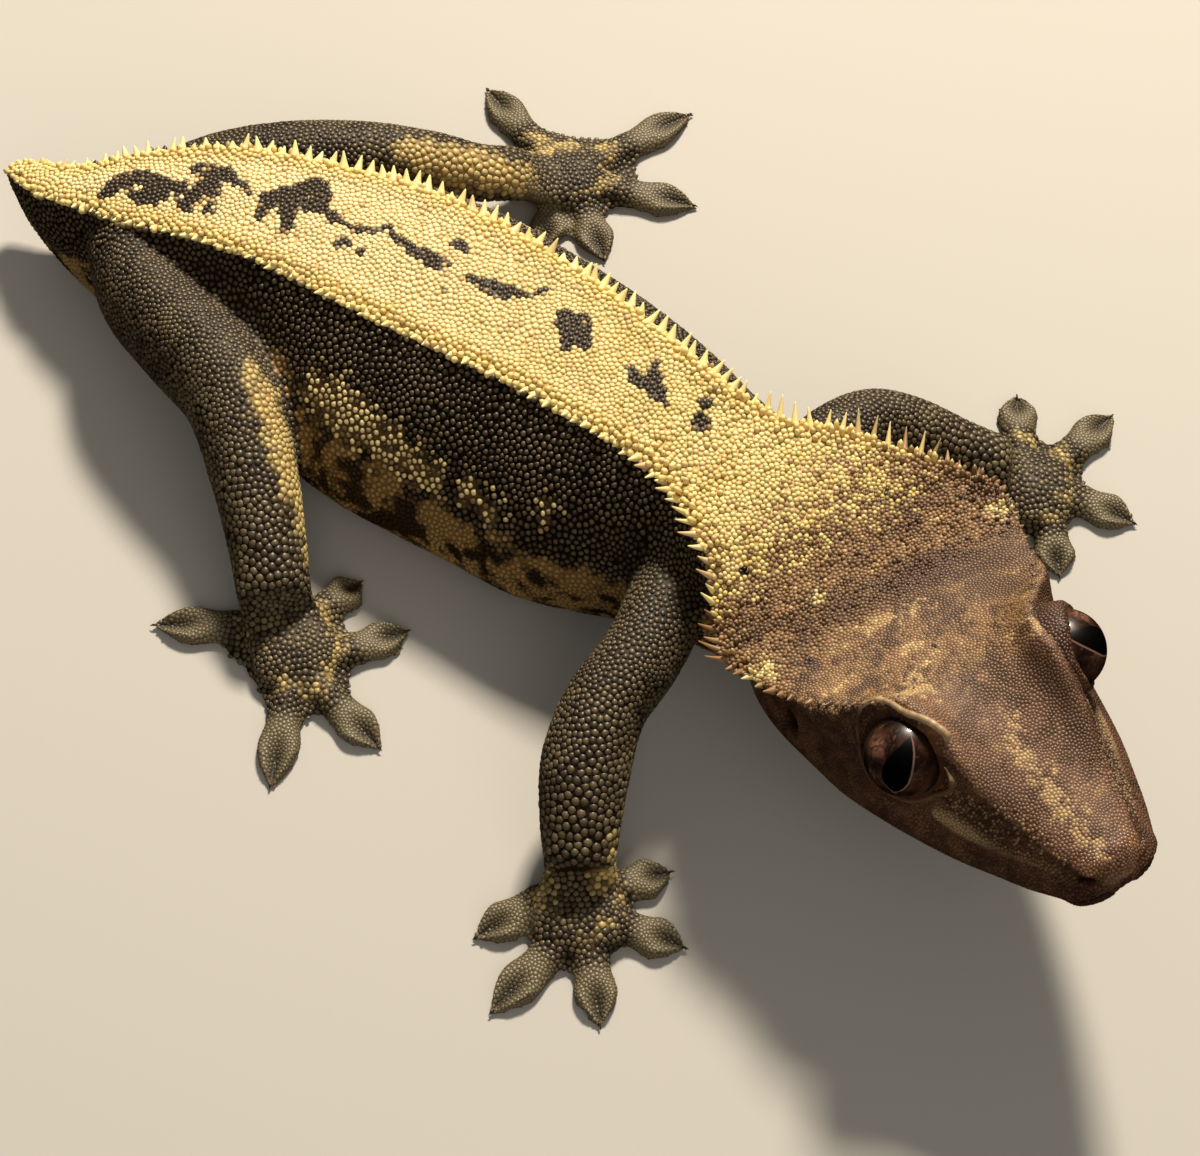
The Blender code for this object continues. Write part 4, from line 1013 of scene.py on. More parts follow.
    colour = mixed(times(marks["lip"], 0.75), colour, "lip")
    # The real black pits and the painted shade of the openings and pad hollows take the same near black.
    dark = math_of("MAXIMUM", marks["dark"], ramp(marks["pit_spot"], -0.05, 0.08))
    colour = mixed(dark, colour, "pit")
    return colour, tone, lift, marks


def keratin(name, roughness, shaded_groove):
    """Dry granular gecko skin: pigment under a thin clear keratin, with painted shade in the grooves, low on each scale
    and on the skin between.
    """
    finish = bpy.data.materials.new(name)
    finish.use_nodes = True
    tree = finish.node_tree
    shader = tree.nodes["Principled BSDF"]
    colour, tone, lift, marks = pattern_colour(tree)
    # Painted shade: low on each scale and on the bare skin, the colour is multiplied by the colour of the grooves,
    # fading to none at the top.
    painted_groove_shade = node(tree, "ShaderNodeMix", {"data_type": "RGBA"}, i0=lift)
    painted_groove_shade.inputs[6].default_value = linear(shaded_groove)
    painted_groove_shade.inputs[7].default_value = linear("#ffffff")
    shaded = node(tree, "ShaderNodeMix", {"data_type": "RGBA", "blend_type": "MULTIPLY"}, i0=1.0)
    tree.links.new(colour, shaded.inputs[6])
    tree.links.new(painted_groove_shade.outputs[2], shaded.inputs[7])
    bright = node(tree, "ShaderNodeMapRange", None, Value=tone)
    bright.inputs["To Min"].default_value = 0.88
    bright.inputs["To Max"].default_value = 1.1
    final = node(tree, "ShaderNodeVectorMath", {"operation": "SCALE"}, i0=shaded.outputs[2], Scale=bright.outputs[0])
    tree.links.new(final.outputs[0], shader.inputs["Base Color"])
    fine = node(tree, "ShaderNodeTexNoise", None, Scale=9000.0, Detail=3.0)
    place = node(tree, "ShaderNodeTexCoord")
    tree.links.new(place.outputs["Object"], fine.inputs["Vector"])
    bump = node(tree, "ShaderNodeBump", None, Strength=0.25, Distance=0.00003, Height=fine.outputs["Fac"])
    tree.links.new(bump.outputs[0], shader.inputs["Normal"])
    gloss = node(tree, "ShaderNodeMapRange", None, Value=marks["wet"])
    gloss.inputs["To Min"].default_value = roughness
    gloss.inputs["To Max"].default_value = 0.12
    tree.links.new(gloss.outputs[0], shader.inputs["Roughness"])
    shader.inputs["IOR"].default_value = 1.5
    return finish


# The last colour of each finish is the painted shade in its grooves.
SKIN_FINISH = keratin("dry_skin_between_scales", 0.62, "#cdb488")
SCALE_FINISH = keratin("granular_keratin_scales", 0.42, "#d6c49b")
HEAD_FINISH = keratin("fine_keratin_of_the_head", 0.45, "#e2d3bd")
print("finishes:", SKIN_FINISH.name, SCALE_FINISH.name, HEAD_FINISH.name)

# %% Dress the skin with its marks
def give_numbers(mesh, numbers):
    """Store arrays of one number, or of three, on the points of a mesh."""
    for name, values in numbers.items():
        kind, field = ("FLOAT_VECTOR", "vector") if values.ndim == 2 else ("FLOAT", "value")
        layer = mesh.attributes.new(name, kind, "POINT")
        layer.data.foreach_set(field, values.astype(np.float32).ravel())


def add_piece(name, mesh, finish):
    """Put a mesh made in millimetres in the scene, in metres over the model's origin."""
    mesh.transform(Matrix.Scale(MM, 4) @ Matrix.Translation(-Vector(ORIGIN)))
    mesh.materials.clear()
    mesh.materials.append(finish)
    mesh.shade_smooth()
    piece = bpy.data.objects.new(name, mesh)
    bpy.context.scene.collection.objects.link(piece)
    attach(piece, "root")
    return piece


normals = normals_of(skin_mesh, skin)
loops = [tuple(polygon.vertices) for polygon in skin_mesh.polygons]
surface = BVHTree.FromPolygons(skin.tolist(), loops, epsilon=0.0)
# The bare skin lies at the foot of the scales, so it takes the full painted shade of the grooves.
skin_rows = {**MARKS, "root": skin, "tone": np.full(len(skin), 0.5), "lift": np.zeros(len(skin))}
give_numbers(skin_mesh, skin_rows)
skin_piece = add_piece("skin", skin_mesh, SKIN_FINISH)
FLESH = [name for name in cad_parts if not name.startswith("eye_")]
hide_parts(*FLESH)
print("skin stands for", len(FLESH), "nodes of flesh")

# %% [markdown]
# ## Sowing the scales
# Gecko scales are beads that crowd together: nearly even, never in straight lines. Throwing far too
# many random points on the skin, keeping those with enough room and letting the rest push each
# other apart gives just that. The room each one wants is the size of scale that grows there.

# %% The room a scale wants
def scale_room():
    """Distance between scales on every point of the skin, in millimetres."""
    on_body = part == 0
    flank = 0.47 - 0.1 * blend(share, 0.48, 0.56)
    room = np.where(inside_crest > 0, 0.39 + 0.1 * np.exp(-(inside_crest / 0.9) ** 2), flank)
    room = room + 0.32 * blend(share, 0.7, 0.85)
    head = blend(along_row, 13.5, 17.5)
    small = 0.29 - 0.06 * blend(along_row, 17.5, 19.5) + 0.16 * blend(share, 0.66, 0.8)
    room = np.where(on_body, room + (small - room) * head, 0.46)
    room = np.where((part >= 1) & (part <= 4), 0.39 + 0.15 * blend(along_row, 2.0, 5.5), room)
    room = np.where(part >= 5, 0.42 - 0.15 * blend(pad, 0.1, 0.9), room)
    uneven = np.array([noise.noise(point * Vector((0.7, 0.7, 0.7))) for point in map(Vector, skin.tolist())])
    return room * (1 + 0.22 * uneven)


ROOM = scale_room()
triangles = np.array([(f[0], f[i], f[i + 1]) for f in loops for i in range(1, len(f) - 1)])


def sow(seed, factor, allowed):
    """Throw random points on the skin, many more where the scales are small."""
    draw = np.random.default_rng(seed)
    corners = skin[triangles]
    area = 0.5 * np.linalg.norm(np.cross(corners[:, 1] - corners[:, 0], corners[:, 2] - corners[:, 0]), axis=1)
    weight = area / ROOM[triangles].mean(axis=1) ** 2 * allowed[triangles].all(axis=1)
    count = int(weight.sum() * factor)
    chosen = draw.choice(len(triangles), count, p=weight / weight.sum())
    first, second = draw.random((2, count))
    fold = first + second > 1
    first[fold], second[fold] = 1 - first[fold], 1 - second[fold]
    shares = np.stack([1 - first - second, first, second], axis=1)
    return chosen, shares


def carried(values, chosen, shares):
    """Values of the skin's points carried to places on its triangles."""
    corners = values[triangles[chosen]]
    return (corners * (shares[:, :, None] if corners.ndim == 3 else shares)).sum(axis=1)


def thin_out(points, room, share=0.8):
    """Keep points in turn, dropping every later one that lies too near."""
    tree = KDTree(len(points))
    for index, point in enumerate(points.tolist()):
        tree.insert(point, index)
    tree.balance()
    free = np.ones(len(points), bool)
    kept = []
    for index in range(len(points)):
        if free[index]:
            kept.append(index)
            for _, other, _ in tree.find_range(points[index], room[index] * share):
                free[other] = False
    return np.array(kept)


# %% Let the scales push each other apart
triangle_of_face = np.cumsum([0] + [len(f) - 2 for f in loops])


def settle(points):
    """Put points back on the skin, as a triangle and shares of its corners."""
    chosen, shares = [], []
    for point in points.tolist():
        spot, _, face, _ = surface.find_nearest(point)
        best = None
        for number in range(triangle_of_face[face], triangle_of_face[face + 1]):
            a, b, c = skin[triangles[number]]
            u, v, w = b - a, c - a, np.array(spot) - a
            uu, uv, vv, wu, wv = u @ u, u @ v, v @ v, w @ u, w @ v
            area = max(uu * vv - uv * uv, 1e-12)
            second = (vv * wu - uv * wv) / area
            third = (uu * wv - uv * wu) / area
            least = min(second, third, 1 - second - third)
            if best is None or least > best[0]:
                best = (least, number, (1 - second - third, second, third))
        chosen.append(best[1])
        shares.append(best[2])
    shares = np.clip(np.array(shares), 0, 1)
    return np.array(chosen), shares / shares.sum(axis=1, keepdims=True)


def push_apart(points, room, rounds=4, count=7):
    """Even out the gaps between near neighbours."""
    for turn in range(rounds):
        tree = KDTree(len(points))
        for index, point in enumerate(points.tolist()):
            tree.insert(point, index)
        tree.balance()
        near = np.array([[other for _, other, _ in tree.find_n(point, count)] for point in points.tolist()])
        reach = points[:, None] - points[near]
        gap = np.linalg.norm(reach, axis=2)
        wanted = 0.5 * (room[:, None] + room[near])
        push = np.clip(wanted * 1.12 - gap, 0, None) * (gap > 0)
        points = points + 0.35 * (reach / np.maximum(gap, 1e-6)[:, :, None] * push[:, :, None]).sum(axis=1)
    return points


began = time()
eye_cover = np.zeros(len(skin), bool)
for side in (-1, 1):
    far, angle, turn = about_eye(skin, side)
    eye_cover |= (far < 2.9) | ((angle < opening(side, turn) + 1) & (far < 3.3))
resting = (skin[:, 2] < 0.15) | ((part >= 5) & (normals[:, 2] < -0.05))
allowed = ~eye_cover & (pit < 0.5) & ~resting
chosen, shares = sow(SEED, 7.0, allowed)
kept = thin_out(carried(skin, chosen, shares), carried(ROOM, chosen, shares))
chosen, shares = chosen[kept], shares[kept]
print("kept", len(kept), "scales", round(time() - began, 1), "s")
roots = push_apart(carried(skin, chosen, shares), carried(ROOM, chosen, shares))
chosen, shares = settle(roots)
roots = carried(skin, chosen, shares)
print("settled", round(time() - began, 1), "s")

# %% [markdown]
# ## Shaping the scales
# Each scale is a small closed dome with its base sunk in the skin. Its outline reaches half way to
# each neighbour, as the cells of cobblestones do, so only thin grooves stay between them. All domes
# of a region are written into one mesh with numpy, which takes a second, where thousands of
# separate objects would take minutes. Each carries its root's marks, a tone of its own, how high on
# the dome a point lies, and a small patch on a map named OFBake, at its root's place on the skin.

# %% Outline of each scale
SCALE_SIDES = 7
# Rings of a dome: share of the outline, share of the height.
DOME = ((1.0, -0.3), (0.84, 0.66))


def outlines(points, normals, lie, room):
    """Reach of each scale in each direction: half way to the nearest neighbours on its own side."""
    tree = KDTree(len(points))
    for index, point in enumerate(points.tolist()):
        tree.insert(point, index)
    tree.balance()
    near = np.array([[other for _, other, _ in tree.find_n(point, 10)][1:] for point in points.tolist()])
    reach = points[near] - points[:, None]
    across = np.cross(normals, lie)
    flat = np.stack([(reach * lie[:, None]).sum(axis=2), (reach * across[:, None]).sum(axis=2)], axis=2)
    same_side = (normals[near] * normals[:, None]).sum(axis=2) > 0.25
    square = (flat**2).sum(axis=2)
    angles = np.linspace(0, 2 * math.pi, SCALE_SIDES, endpoint=False)
    radii = np.zeros((len(points), SCALE_SIDES))
    for number, angle in enumerate(angles):
        ahead = flat @ np.array([math.cos(angle), math.sin(angle)])
        limit = np.where(same_side & (ahead > 0.2 * np.sqrt(square)), 0.5 * square / np.maximum(ahead, 1e-6), 9.0)
        radii[:, number] = limit.min(axis=1)
    return np.clip(radii, 0.3 * room[:, None], 0.66 * room[:, None])


chart = look_up(roots)
part_at, row_at, along_at, round_at, inside_at, share_at = chart.T
root_marks = {name: carried(values, chosen, shares) for name, values in MARKS.items()}
root_normals = unit(carried(normals, chosen, shares))
root_room = carried(ROOM, chosen, shares)
lies = np.tile((0.0, 1.0, 0.0), (len(roots), 1))
for number, limb in enumerate(LIMBS):
    rows = np.array(LIMBS[limb])[:, :3]
    lies[(part_at == 1 + number) | (part_at == 5 + number)] = unit(rows[-1] - rows[2])
lies = unit(lies - root_normals * (lies * root_normals).sum(axis=1, keepdims=True))
radii = outlines(roots, root_normals, lies, root_room)
# The flank's granules stand apart, with bare skin between them.
apart = (part_at == 0) & (inside_at < -0.4) & (row_at < NECK_PLACE) & (share_at < 0.6)
radii[apart] *= 0.84
print("outlines", round(time() - began, 1), "s; mean reach", round(float(radii.mean()), 3), "mm")

# %% Height and tone of each scale
draw = np.random.default_rng(SEED + 1)
tones = draw.random(len(roots))
on_body = part_at == 0
front = row_at > NECK_PLACE
head_at = head_frame(roots)
relief = np.where(on_body, 0.62, 0.4)
relief = np.where(on_body, relief - 0.4 * blend(row_at, 15.5, 19.5), relief)
relief = np.where(on_body & front & (inside_at < -0.3), 0.24, relief)
relief = np.where(part_at >= 5, 0.42 - 0.22 * blend(root_marks["pad"], 0.1, 0.6), relief)
relief = np.where(share_at > 0.75, 0.3, relief)
edge_bump = np.exp(-(np.clip(inside_at, 0, 9) / 0.8) ** 2) * (inside_at > -0.35) * on_body * (row_at < 18)
nape = blend(row_at, 11.5, 13.5) * blend(row_at, 19.0, 17.5) * (inside_at > 0) * on_body
near_edge = nape * blend(inside_at, 3.0, 0.5)
raised = 0.5 * edge_bump * draw.random(len(roots)) + (0.25 * nape + 0.45 * near_edge) * draw.random(len(roots)) ** 3
# Rough, pale warts between the eye and the ridge of the lip.
wart = on_body & (head_at[:, 0] > 4) & (head_at[:, 0] < 13.0) & (np.abs(head_at[:, 1]) > 2.6)
wart &= (head_at[:, 2] < 0.4) & (head_at[:, 2] > -2.4) & (draw.random(len(roots)) < 0.4)
root_marks["lip"] = np.where(wart, np.maximum(root_marks["lip"], 0.6 * draw.random(len(roots))), root_marks["lip"])
on_pad = blend(root_marks["pad"], 0.1, 0.6)
tones = tones + (0.5 - tones) * 0.7 * on_pad
heights = relief * radii.mean(axis=1) * draw.uniform(0.85, 1.15, len(roots)) + raised + 0.08 * wart
print("scales stand", round(float(heights.mean()), 3), "mm high on average")

# %% Grow the scales of a region
def on_unwrap(mask):
    """Places in a square for scales of one region: round and along on the trunk, limb by limb."""
    part_here = part_at[mask]
    spread = []
    for values in (round_at[mask], along_at[mask]):
        spread.append(np.interp(values, (values.min() - 0.1, values.max() + 0.1), (0.01, 0.99)))
    limb = (part_here >= 1) & (part_here <= 4)
    u = np.where(limb, 0.01 + 0.98 * round_at[mask], spread[0])
    v = np.where(limb, 0.01 + 0.5 * row_at[mask] / 6, spread[1])
    foot = part_here >= 5
    if foot.any():
        spot = roots[mask][:, :2]
        low, high = spot[foot].min(axis=0), spot[foot].max(axis=0)
        flat = (spot - low) / (high - low)
        under = root_normals[mask][:, 2] < 0
        u = np.where(foot, 0.01 + 0.48 * flat[:, 0] + 0.5 * under, u)
        v = np.where(foot, 0.53 + 0.45 * flat[:, 1], v)
    return np.stack([u, v], axis=1)


def dome_faces():
    """Faces of one dome: sides, cap and bottom."""
    place = np.arange(SCALE_SIDES)
    follow = (place + 1) % SCALE_SIDES
    sides = [np.stack([low + place, low + follow, low + SCALE_SIDES + follow, low + SCALE_SIDES + place], axis=1)
             for low in range(0, SCALE_SIDES * (len(DOME) - 1), SCALE_SIDES)]
    low = SCALE_SIDES * (len(DOME) - 1)
    cap = np.stack([low + place, low + follow, np.full(SCALE_SIDES, low + SCALE_SIDES)], axis=1)
    return [np.concatenate(sides), cap, place[::-1][None]]


def grow(name, finish, mask, uv):
    """One mesh of the scales under a mask."""
    root, normal, lie = roots[mask], root_normals[mask], lies[mask]
    across = np.cross(normal, lie)
    angles = np.linspace(0, 2 * math.pi, SCALE_SIDES, endpoint=False)
    rim = (lie[:, None] * np.cos(angles)[:, None] + across[:, None] * np.sin(angles)[:, None]) * radii[mask][:, :, None]
    rise = (normal * heights[mask][:, None])[:, None]
    rings = [root[:, None] + rim * reach + rise * height for reach, height in DOME]
    tip = root[:, None] + rise + (lie * 0.1 * radii[mask].mean(axis=1, keepdims=True))[:, None]
    body = np.concatenate([*rings, tip], axis=1)
    count, each = body.shape[:2]
    body = body.reshape(-1, 3)
    body[:, 2] = np.maximum(body[:, 2], 0.0)
    shift = (np.arange(count) * each)[:, None, None]
    faces = [(group[None] + shift).reshape(-1, group.shape[1]) for group in dome_faces()]
    mesh = fill_mesh(bpy.data.meshes.new(name), body, faces)
    numbers = {key: np.repeat(values[mask], each, axis=0) for key, values in root_marks.items()}
    numbers["root"] = np.repeat(root, each, axis=0)
    numbers["tone"] = np.repeat(tones[mask], each)
    # How high on the dome each point lies; the finish paints shade into the low points.
    lift = [max(height, 0) for _, height in DOME for _ in angles]
    numbers["lift"] = np.tile(np.array([*lift, 1.0]), count)
    give_numbers(mesh, numbers)
    corner = np.zeros(len(mesh.loops), np.int32)
    mesh.loops.foreach_get("vertex_index", corner)
    circle = np.stack([np.cos(angles), np.sin(angles)], axis=1)
    local = np.concatenate([circle * reach for reach, _ in DOME] + [np.zeros((1, 2))])
    layer = mesh.uv_layers.new(name="OFBake")
    flat = uv[corner // each] + 0.0014 * local[corner % each]
    layer.data.foreach_set("uv", np.clip(flat, 0, 1).astype(np.float32).ravel())
    add_piece(name, mesh, finish)
    print(f"{name}: {count} scales, {sum(len(g) * (g.shape[1] - 2) for g in faces)} triangles")


# %% Sort the scales into regions and grow them
MOST_SCALES = 7200
REGIONS = {
    "scales_back": (on_body & ~front & (inside_at > -0.2), SCALE_FINISH, "body_skin"),
    "scales_flank_right": (on_body & ~front & (inside_at <= -0.2) & (round_at < 0), SCALE_FINISH, "body_skin"),
    "scales_flank_left": (on_body & ~front & (inside_at <= -0.2) & (round_at >= 0), SCALE_FINISH, "body_skin"),
    "scales_nape": (on_body & front & (inside_at > -0.2) & (head_at[:, 0] > 24.5), HEAD_FINISH, "head_skin"),
    "scales_crown": (on_body & front & (inside_at > -0.2) & (head_at[:, 0] <= 24.5), HEAD_FINISH, "head_skin"),
    "scales_face_right": (on_body & front & (inside_at <= -0.2) & (round_at < 0), HEAD_FINISH, "head_skin"),
    "scales_face_left": (on_body & front & (inside_at <= -0.2) & (round_at >= 0), HEAD_FINISH, "head_skin"),
}
for number, limb in enumerate(LIMBS):
    mine = (part_at == 1 + number) | (part_at == 5 + number)
    REGIONS["scales_" + limb] = (mine, SCALE_FINISH, "limb_skin")
for name, (mask, finish, slot) in REGIONS.items():
    uv = on_unwrap(mask)
    members = np.flatnonzero(mask)
    order = np.argsort(along_at[members] + 20 * row_at[members] * (part_at[members] > 0) + 200 * (part_at[members] > 4))
    pieces = math.ceil(len(members) / MOST_SCALES)
    for turn, some in enumerate(np.array_split(order, pieces)):
        label = name if pieces == 1 else f"{name}_{turn + 1}"
        grow(label, finish, members[some], uv[some])
print("scales:", len(roots), "in", round(time() - began, 1), "s")

# %% [markdown]
# ## The crest
# The crest gives the animal its name: a row of soft, tapered spines from over each eye, down the
# neck, shrinking to small cones along the back. Each is a bent cone of eight sides. Its root is
# sunk in the skin, and its tip curves up a little.

# %% Spines of both crests
# Place along the rows; length; root radius; distance to the next. Right side, then left.
SPINES = {
    -1: (
        (1.0, 0.35, 0.22, 0.8), (3.6, 0.6, 0.3, 0.95), (6.0, 0.7, 0.33, 0.95), (12.0, 0.75, 0.33, 0.95),
        (13.4, 1.1, 0.31, 1.0), (15.0, 1.45, 0.28, 0.95), (17.3, 1.45, 0.28, 0.95), (18.3, 0.9, 0.26, 0.9),
        (19.4, 0.5, 0.24, 0.7), (21.0, 0.35, 0.2, 0.6),
    ),
    1: (
        (1.0, 0.4, 0.26, 0.75), (3.6, 0.85, 0.38, 0.9), (6.0, 1.05, 0.44, 1.0), (12.5, 1.1, 0.43, 1.0),
        (13.6, 1.4, 0.31, 1.1), (15.0, 1.65, 0.28, 1.05), (15.9, 1.5, 0.27, 1.1), (16.2, 0.5, 0.22, 1.2),
        (17.0, 0.45, 0.22, 1.2), (17.2, 1.0, 0.24, 1.4), (17.5, 0.35, 0.18, 1.3), (21.0, 0.2, 0.16, 0.9),
    ),
}
SPINE_RINGS = ((-0.28, 1.25), (0.02, 1.0), (0.22, 0.78), (0.45, 0.58), (0.7, 0.38), (0.9, 0.22), (1.0, 0.08))
SPINE_SIDES = 8


def crest_places(side):
    """Spines of one crest: root, direction, way along, length and radius."""
    rings = trunk_rings(np.linspace(0, 1, 8))
    sizes = np.array(SPINES[side])
    places = np.arange(sizes[0, 0], sizes[-1, 0], 0.01)
    grid = smooth_rows(rings, places)
    edge, middle = grid[:, 2 * side], grid.mean(axis=1)
    travelled = np.concatenate([[0], np.cumsum(np.linalg.norm(np.diff(edge, axis=0), axis=1))])
    draw = random.Random(SEED + side)
    spines, reached = [], 0.0
    while reached < travelled[-1]:
        at = int(np.searchsorted(travelled, reached))
        length, radius, spacing = (np.interp(places[at], sizes[:, 0], column) for column in sizes[:, 1:].T)
        ahead = unit(edge[min(at + 9, len(edge) - 1)] - edge[max(at - 9, 0)])
        out = edge[at] - middle[at]
        out[2] = 0.0
        out = unit(out - ahead * (out @ ahead))
        rise, lean = 0.45 + draw.uniform(-0.2, 0.3), 0.25 + draw.uniform(-0.35, 0.3)
        direction = unit(out + np.array([0, 0, rise]) - ahead * lean)
        on_skin = np.array(surface.find_nearest(Vector(edge[at]))[0])
        size = draw.choice((0.6, 0.85, 1.0, 1.1, 1.15))
        spines.append((on_skin, direction, ahead, length * size, radius * draw.uniform(0.85, 1.1)))
        reached += spacing * draw.uniform(0.8, 1.25)
    return spines


def cone_field(name, finish, cones):
    """One mesh of many bent cones, each with its marks from its root and a patch of its own."""
    spots = np.array([cone[0] for cone in cones])
    chosen, shares = settle(spots)
    numbers = {key: carried(values, chosen, shares) for key, values in MARKS.items()}
    charted = look_up(spots)
    points, quads, tris, lifts, flats = [], [], [], [], []
    for number, (root, direction, ahead, length, radius) in enumerate(cones):
        side = unit(np.cross(direction, ahead))
        up = np.cross(side, direction)
        bend = np.array([0, 0, 0.14 * length])
        grid = []
        for share, thick in SPINE_RINGS:
            angles = np.linspace(0, 2 * math.pi, SPINE_SIDES, endpoint=False)[:, None]
            middle = root + direction * length * share + bend * max(share, 0) ** 2
            grid.append(middle + radius * thick * (side * np.cos(angles) + up * np.sin(angles)))
        some, four, three = closed_loft(np.array(grid))
        count = number * len(some)
        points.append(some)
        quads.append(four + count)
        tris.append(three + count)
        heights = np.repeat([max(share, 0) for share, _ in SPINE_RINGS], SPINE_SIDES)
        lifts.append(np.concatenate([heights, [0, 1]]))
    each = len(points[0])
    mesh = fill_mesh(bpy.data.meshes.new(name), np.concatenate(points), [np.concatenate(quads), np.concatenate(tris)])
    spread = {key: np.repeat(values, each, axis=0) for key, values in numbers.items()}
    spread["band"] = np.full(each * len(cones), 1.0)
    spread["dark"] = np.zeros(each * len(cones))
    spread["crown"] = 0.6 * spread["crown"]
    spread["root"] = np.repeat(spots, each, axis=0)
    spread["tone"] = np.repeat(np.random.default_rng(SEED).uniform(0.5, 1.0, len(cones)), each)
    # Spine roots count as low, so the finish paints some shade of the grooves into them.
    spread["lift"] = np.clip(0.6 + 0.6 * np.concatenate(lifts), 0, 1)
    give_numbers(mesh, spread)
    corner = np.zeros(len(mesh.loops), np.int32)
    mesh.loops.foreach_get("vertex_index", corner)
    layer = mesh.uv_layers.new(name="OFBake")
    home = np.stack([0.5 + 0.04 * charted[:, 3], 0.01 + 0.98 * charted[:, 2] / 115.0], axis=1)
    turn = np.concatenate([np.tile(np.linspace(0, 1, SPINE_SIDES), len(SPINE_RINGS)), [0.5, 0.5]])
    rise = np.concatenate([np.repeat(np.linspace(0, 1, len(SPINE_RINGS)), SPINE_SIDES), [0, 1]])
    local = np.stack([turn, rise], axis=1) * 0.003 - 0.0015
    layer.data.foreach_set("uv", (home[corner // each] + local[corner % each]).astype(np.float32).ravel())
    print(f"{name}: {len(cones)} spines")
    return add_piece(name, mesh, finish)


cone_field("crest_spines", SCALE_FINISH, crest_places(1) + crest_places(-1))

# %% [markdown]
# ## Eyes
# A crested gecko has no moving lids. A clear scale covers the eye, so it is a wet, domed window
# over a brown iris, with a pupil that closes to an upright slit, wider below in this light.
# The ball is one fine mesh. The pupil's edge is stored on it as a distance, which stays sharp at
# any zoom.

# %% Iris and pupil as distances
PUPIL_AIM = (0.41, 0.64, 0.65)
# Edges of the pupil on the ball, in millimetres: height up the ball, rear edge, front edge.
PUPIL = (
    (2.25, 0.85, 0.85), (2.0, 0.62, 1.0), (1.6, 0.36, 1.14), (1.1, 0.02, 1.24), (0.4, -0.38, 1.28),
    (-0.4, -0.6, 1.28), (-1.0, -0.58, 1.22), (-1.5, -0.38, 1.04), (-1.9, 0.0, 0.76), (-2.12, 0.36, 0.4),
)


def eyeball(name, side):
    """Ball of an eye with its numbers: pupil edge, place on the iris, angle from the middle."""
    centre, axes = eye_axes(side)
    _, pupil_axes = eye_axes(side, PUPIL_AIM)
    work = bmesh.new()
    bmesh.ops.create_uvsphere(work, u_segments=160, v_segments=100, radius=1.0)
    mesh = bpy.data.meshes.new(name)
    work.to_mesh(mesh)
    work.free()
    local = points_of(mesh)
    ball = EYE_RADIUS * local @ axes
    look = unit(ball) @ pupil_axes.T
    u = EYE_RADIUS * np.arctan2(look[:, 0], look[:, 2])
    v = EYE_RADIUS * np.arcsin(np.clip(look[:, 1], -1, 1))
    rows = np.array(PUPIL)[::-1]
    rear, front = (np.interp(v, rows[:, 0], column) for column in rows[:, 1:].T)
    edge = np.minimum(np.minimum(u - rear, front - u), np.minimum(rows[-1, 0] - v, v - rows[0, 0]) + 0.02)
    edge = np.where(look[:, 2] > 0, edge, -3.0)
    window = np.degrees(np.arccos(np.clip(local[:, 2], -1, 1)))
    mesh.vertices.foreach_set("co", (ball + centre).astype(np.float32).ravel())
    mesh.update()
    if side > 0:
        mesh.flip_normals()
    front_rim = blend(u - 0.5 * (rear + front), -0.2, 0.3) + 0.7 * blend(v, -1.2, -1.8)
    give_numbers(mesh, {"pupil": edge, "window": window, "front_rim": np.clip(front_rim, 0, 1),
                        "iris": np.stack([u, v, 0 * u], axis=1)})
    return mesh


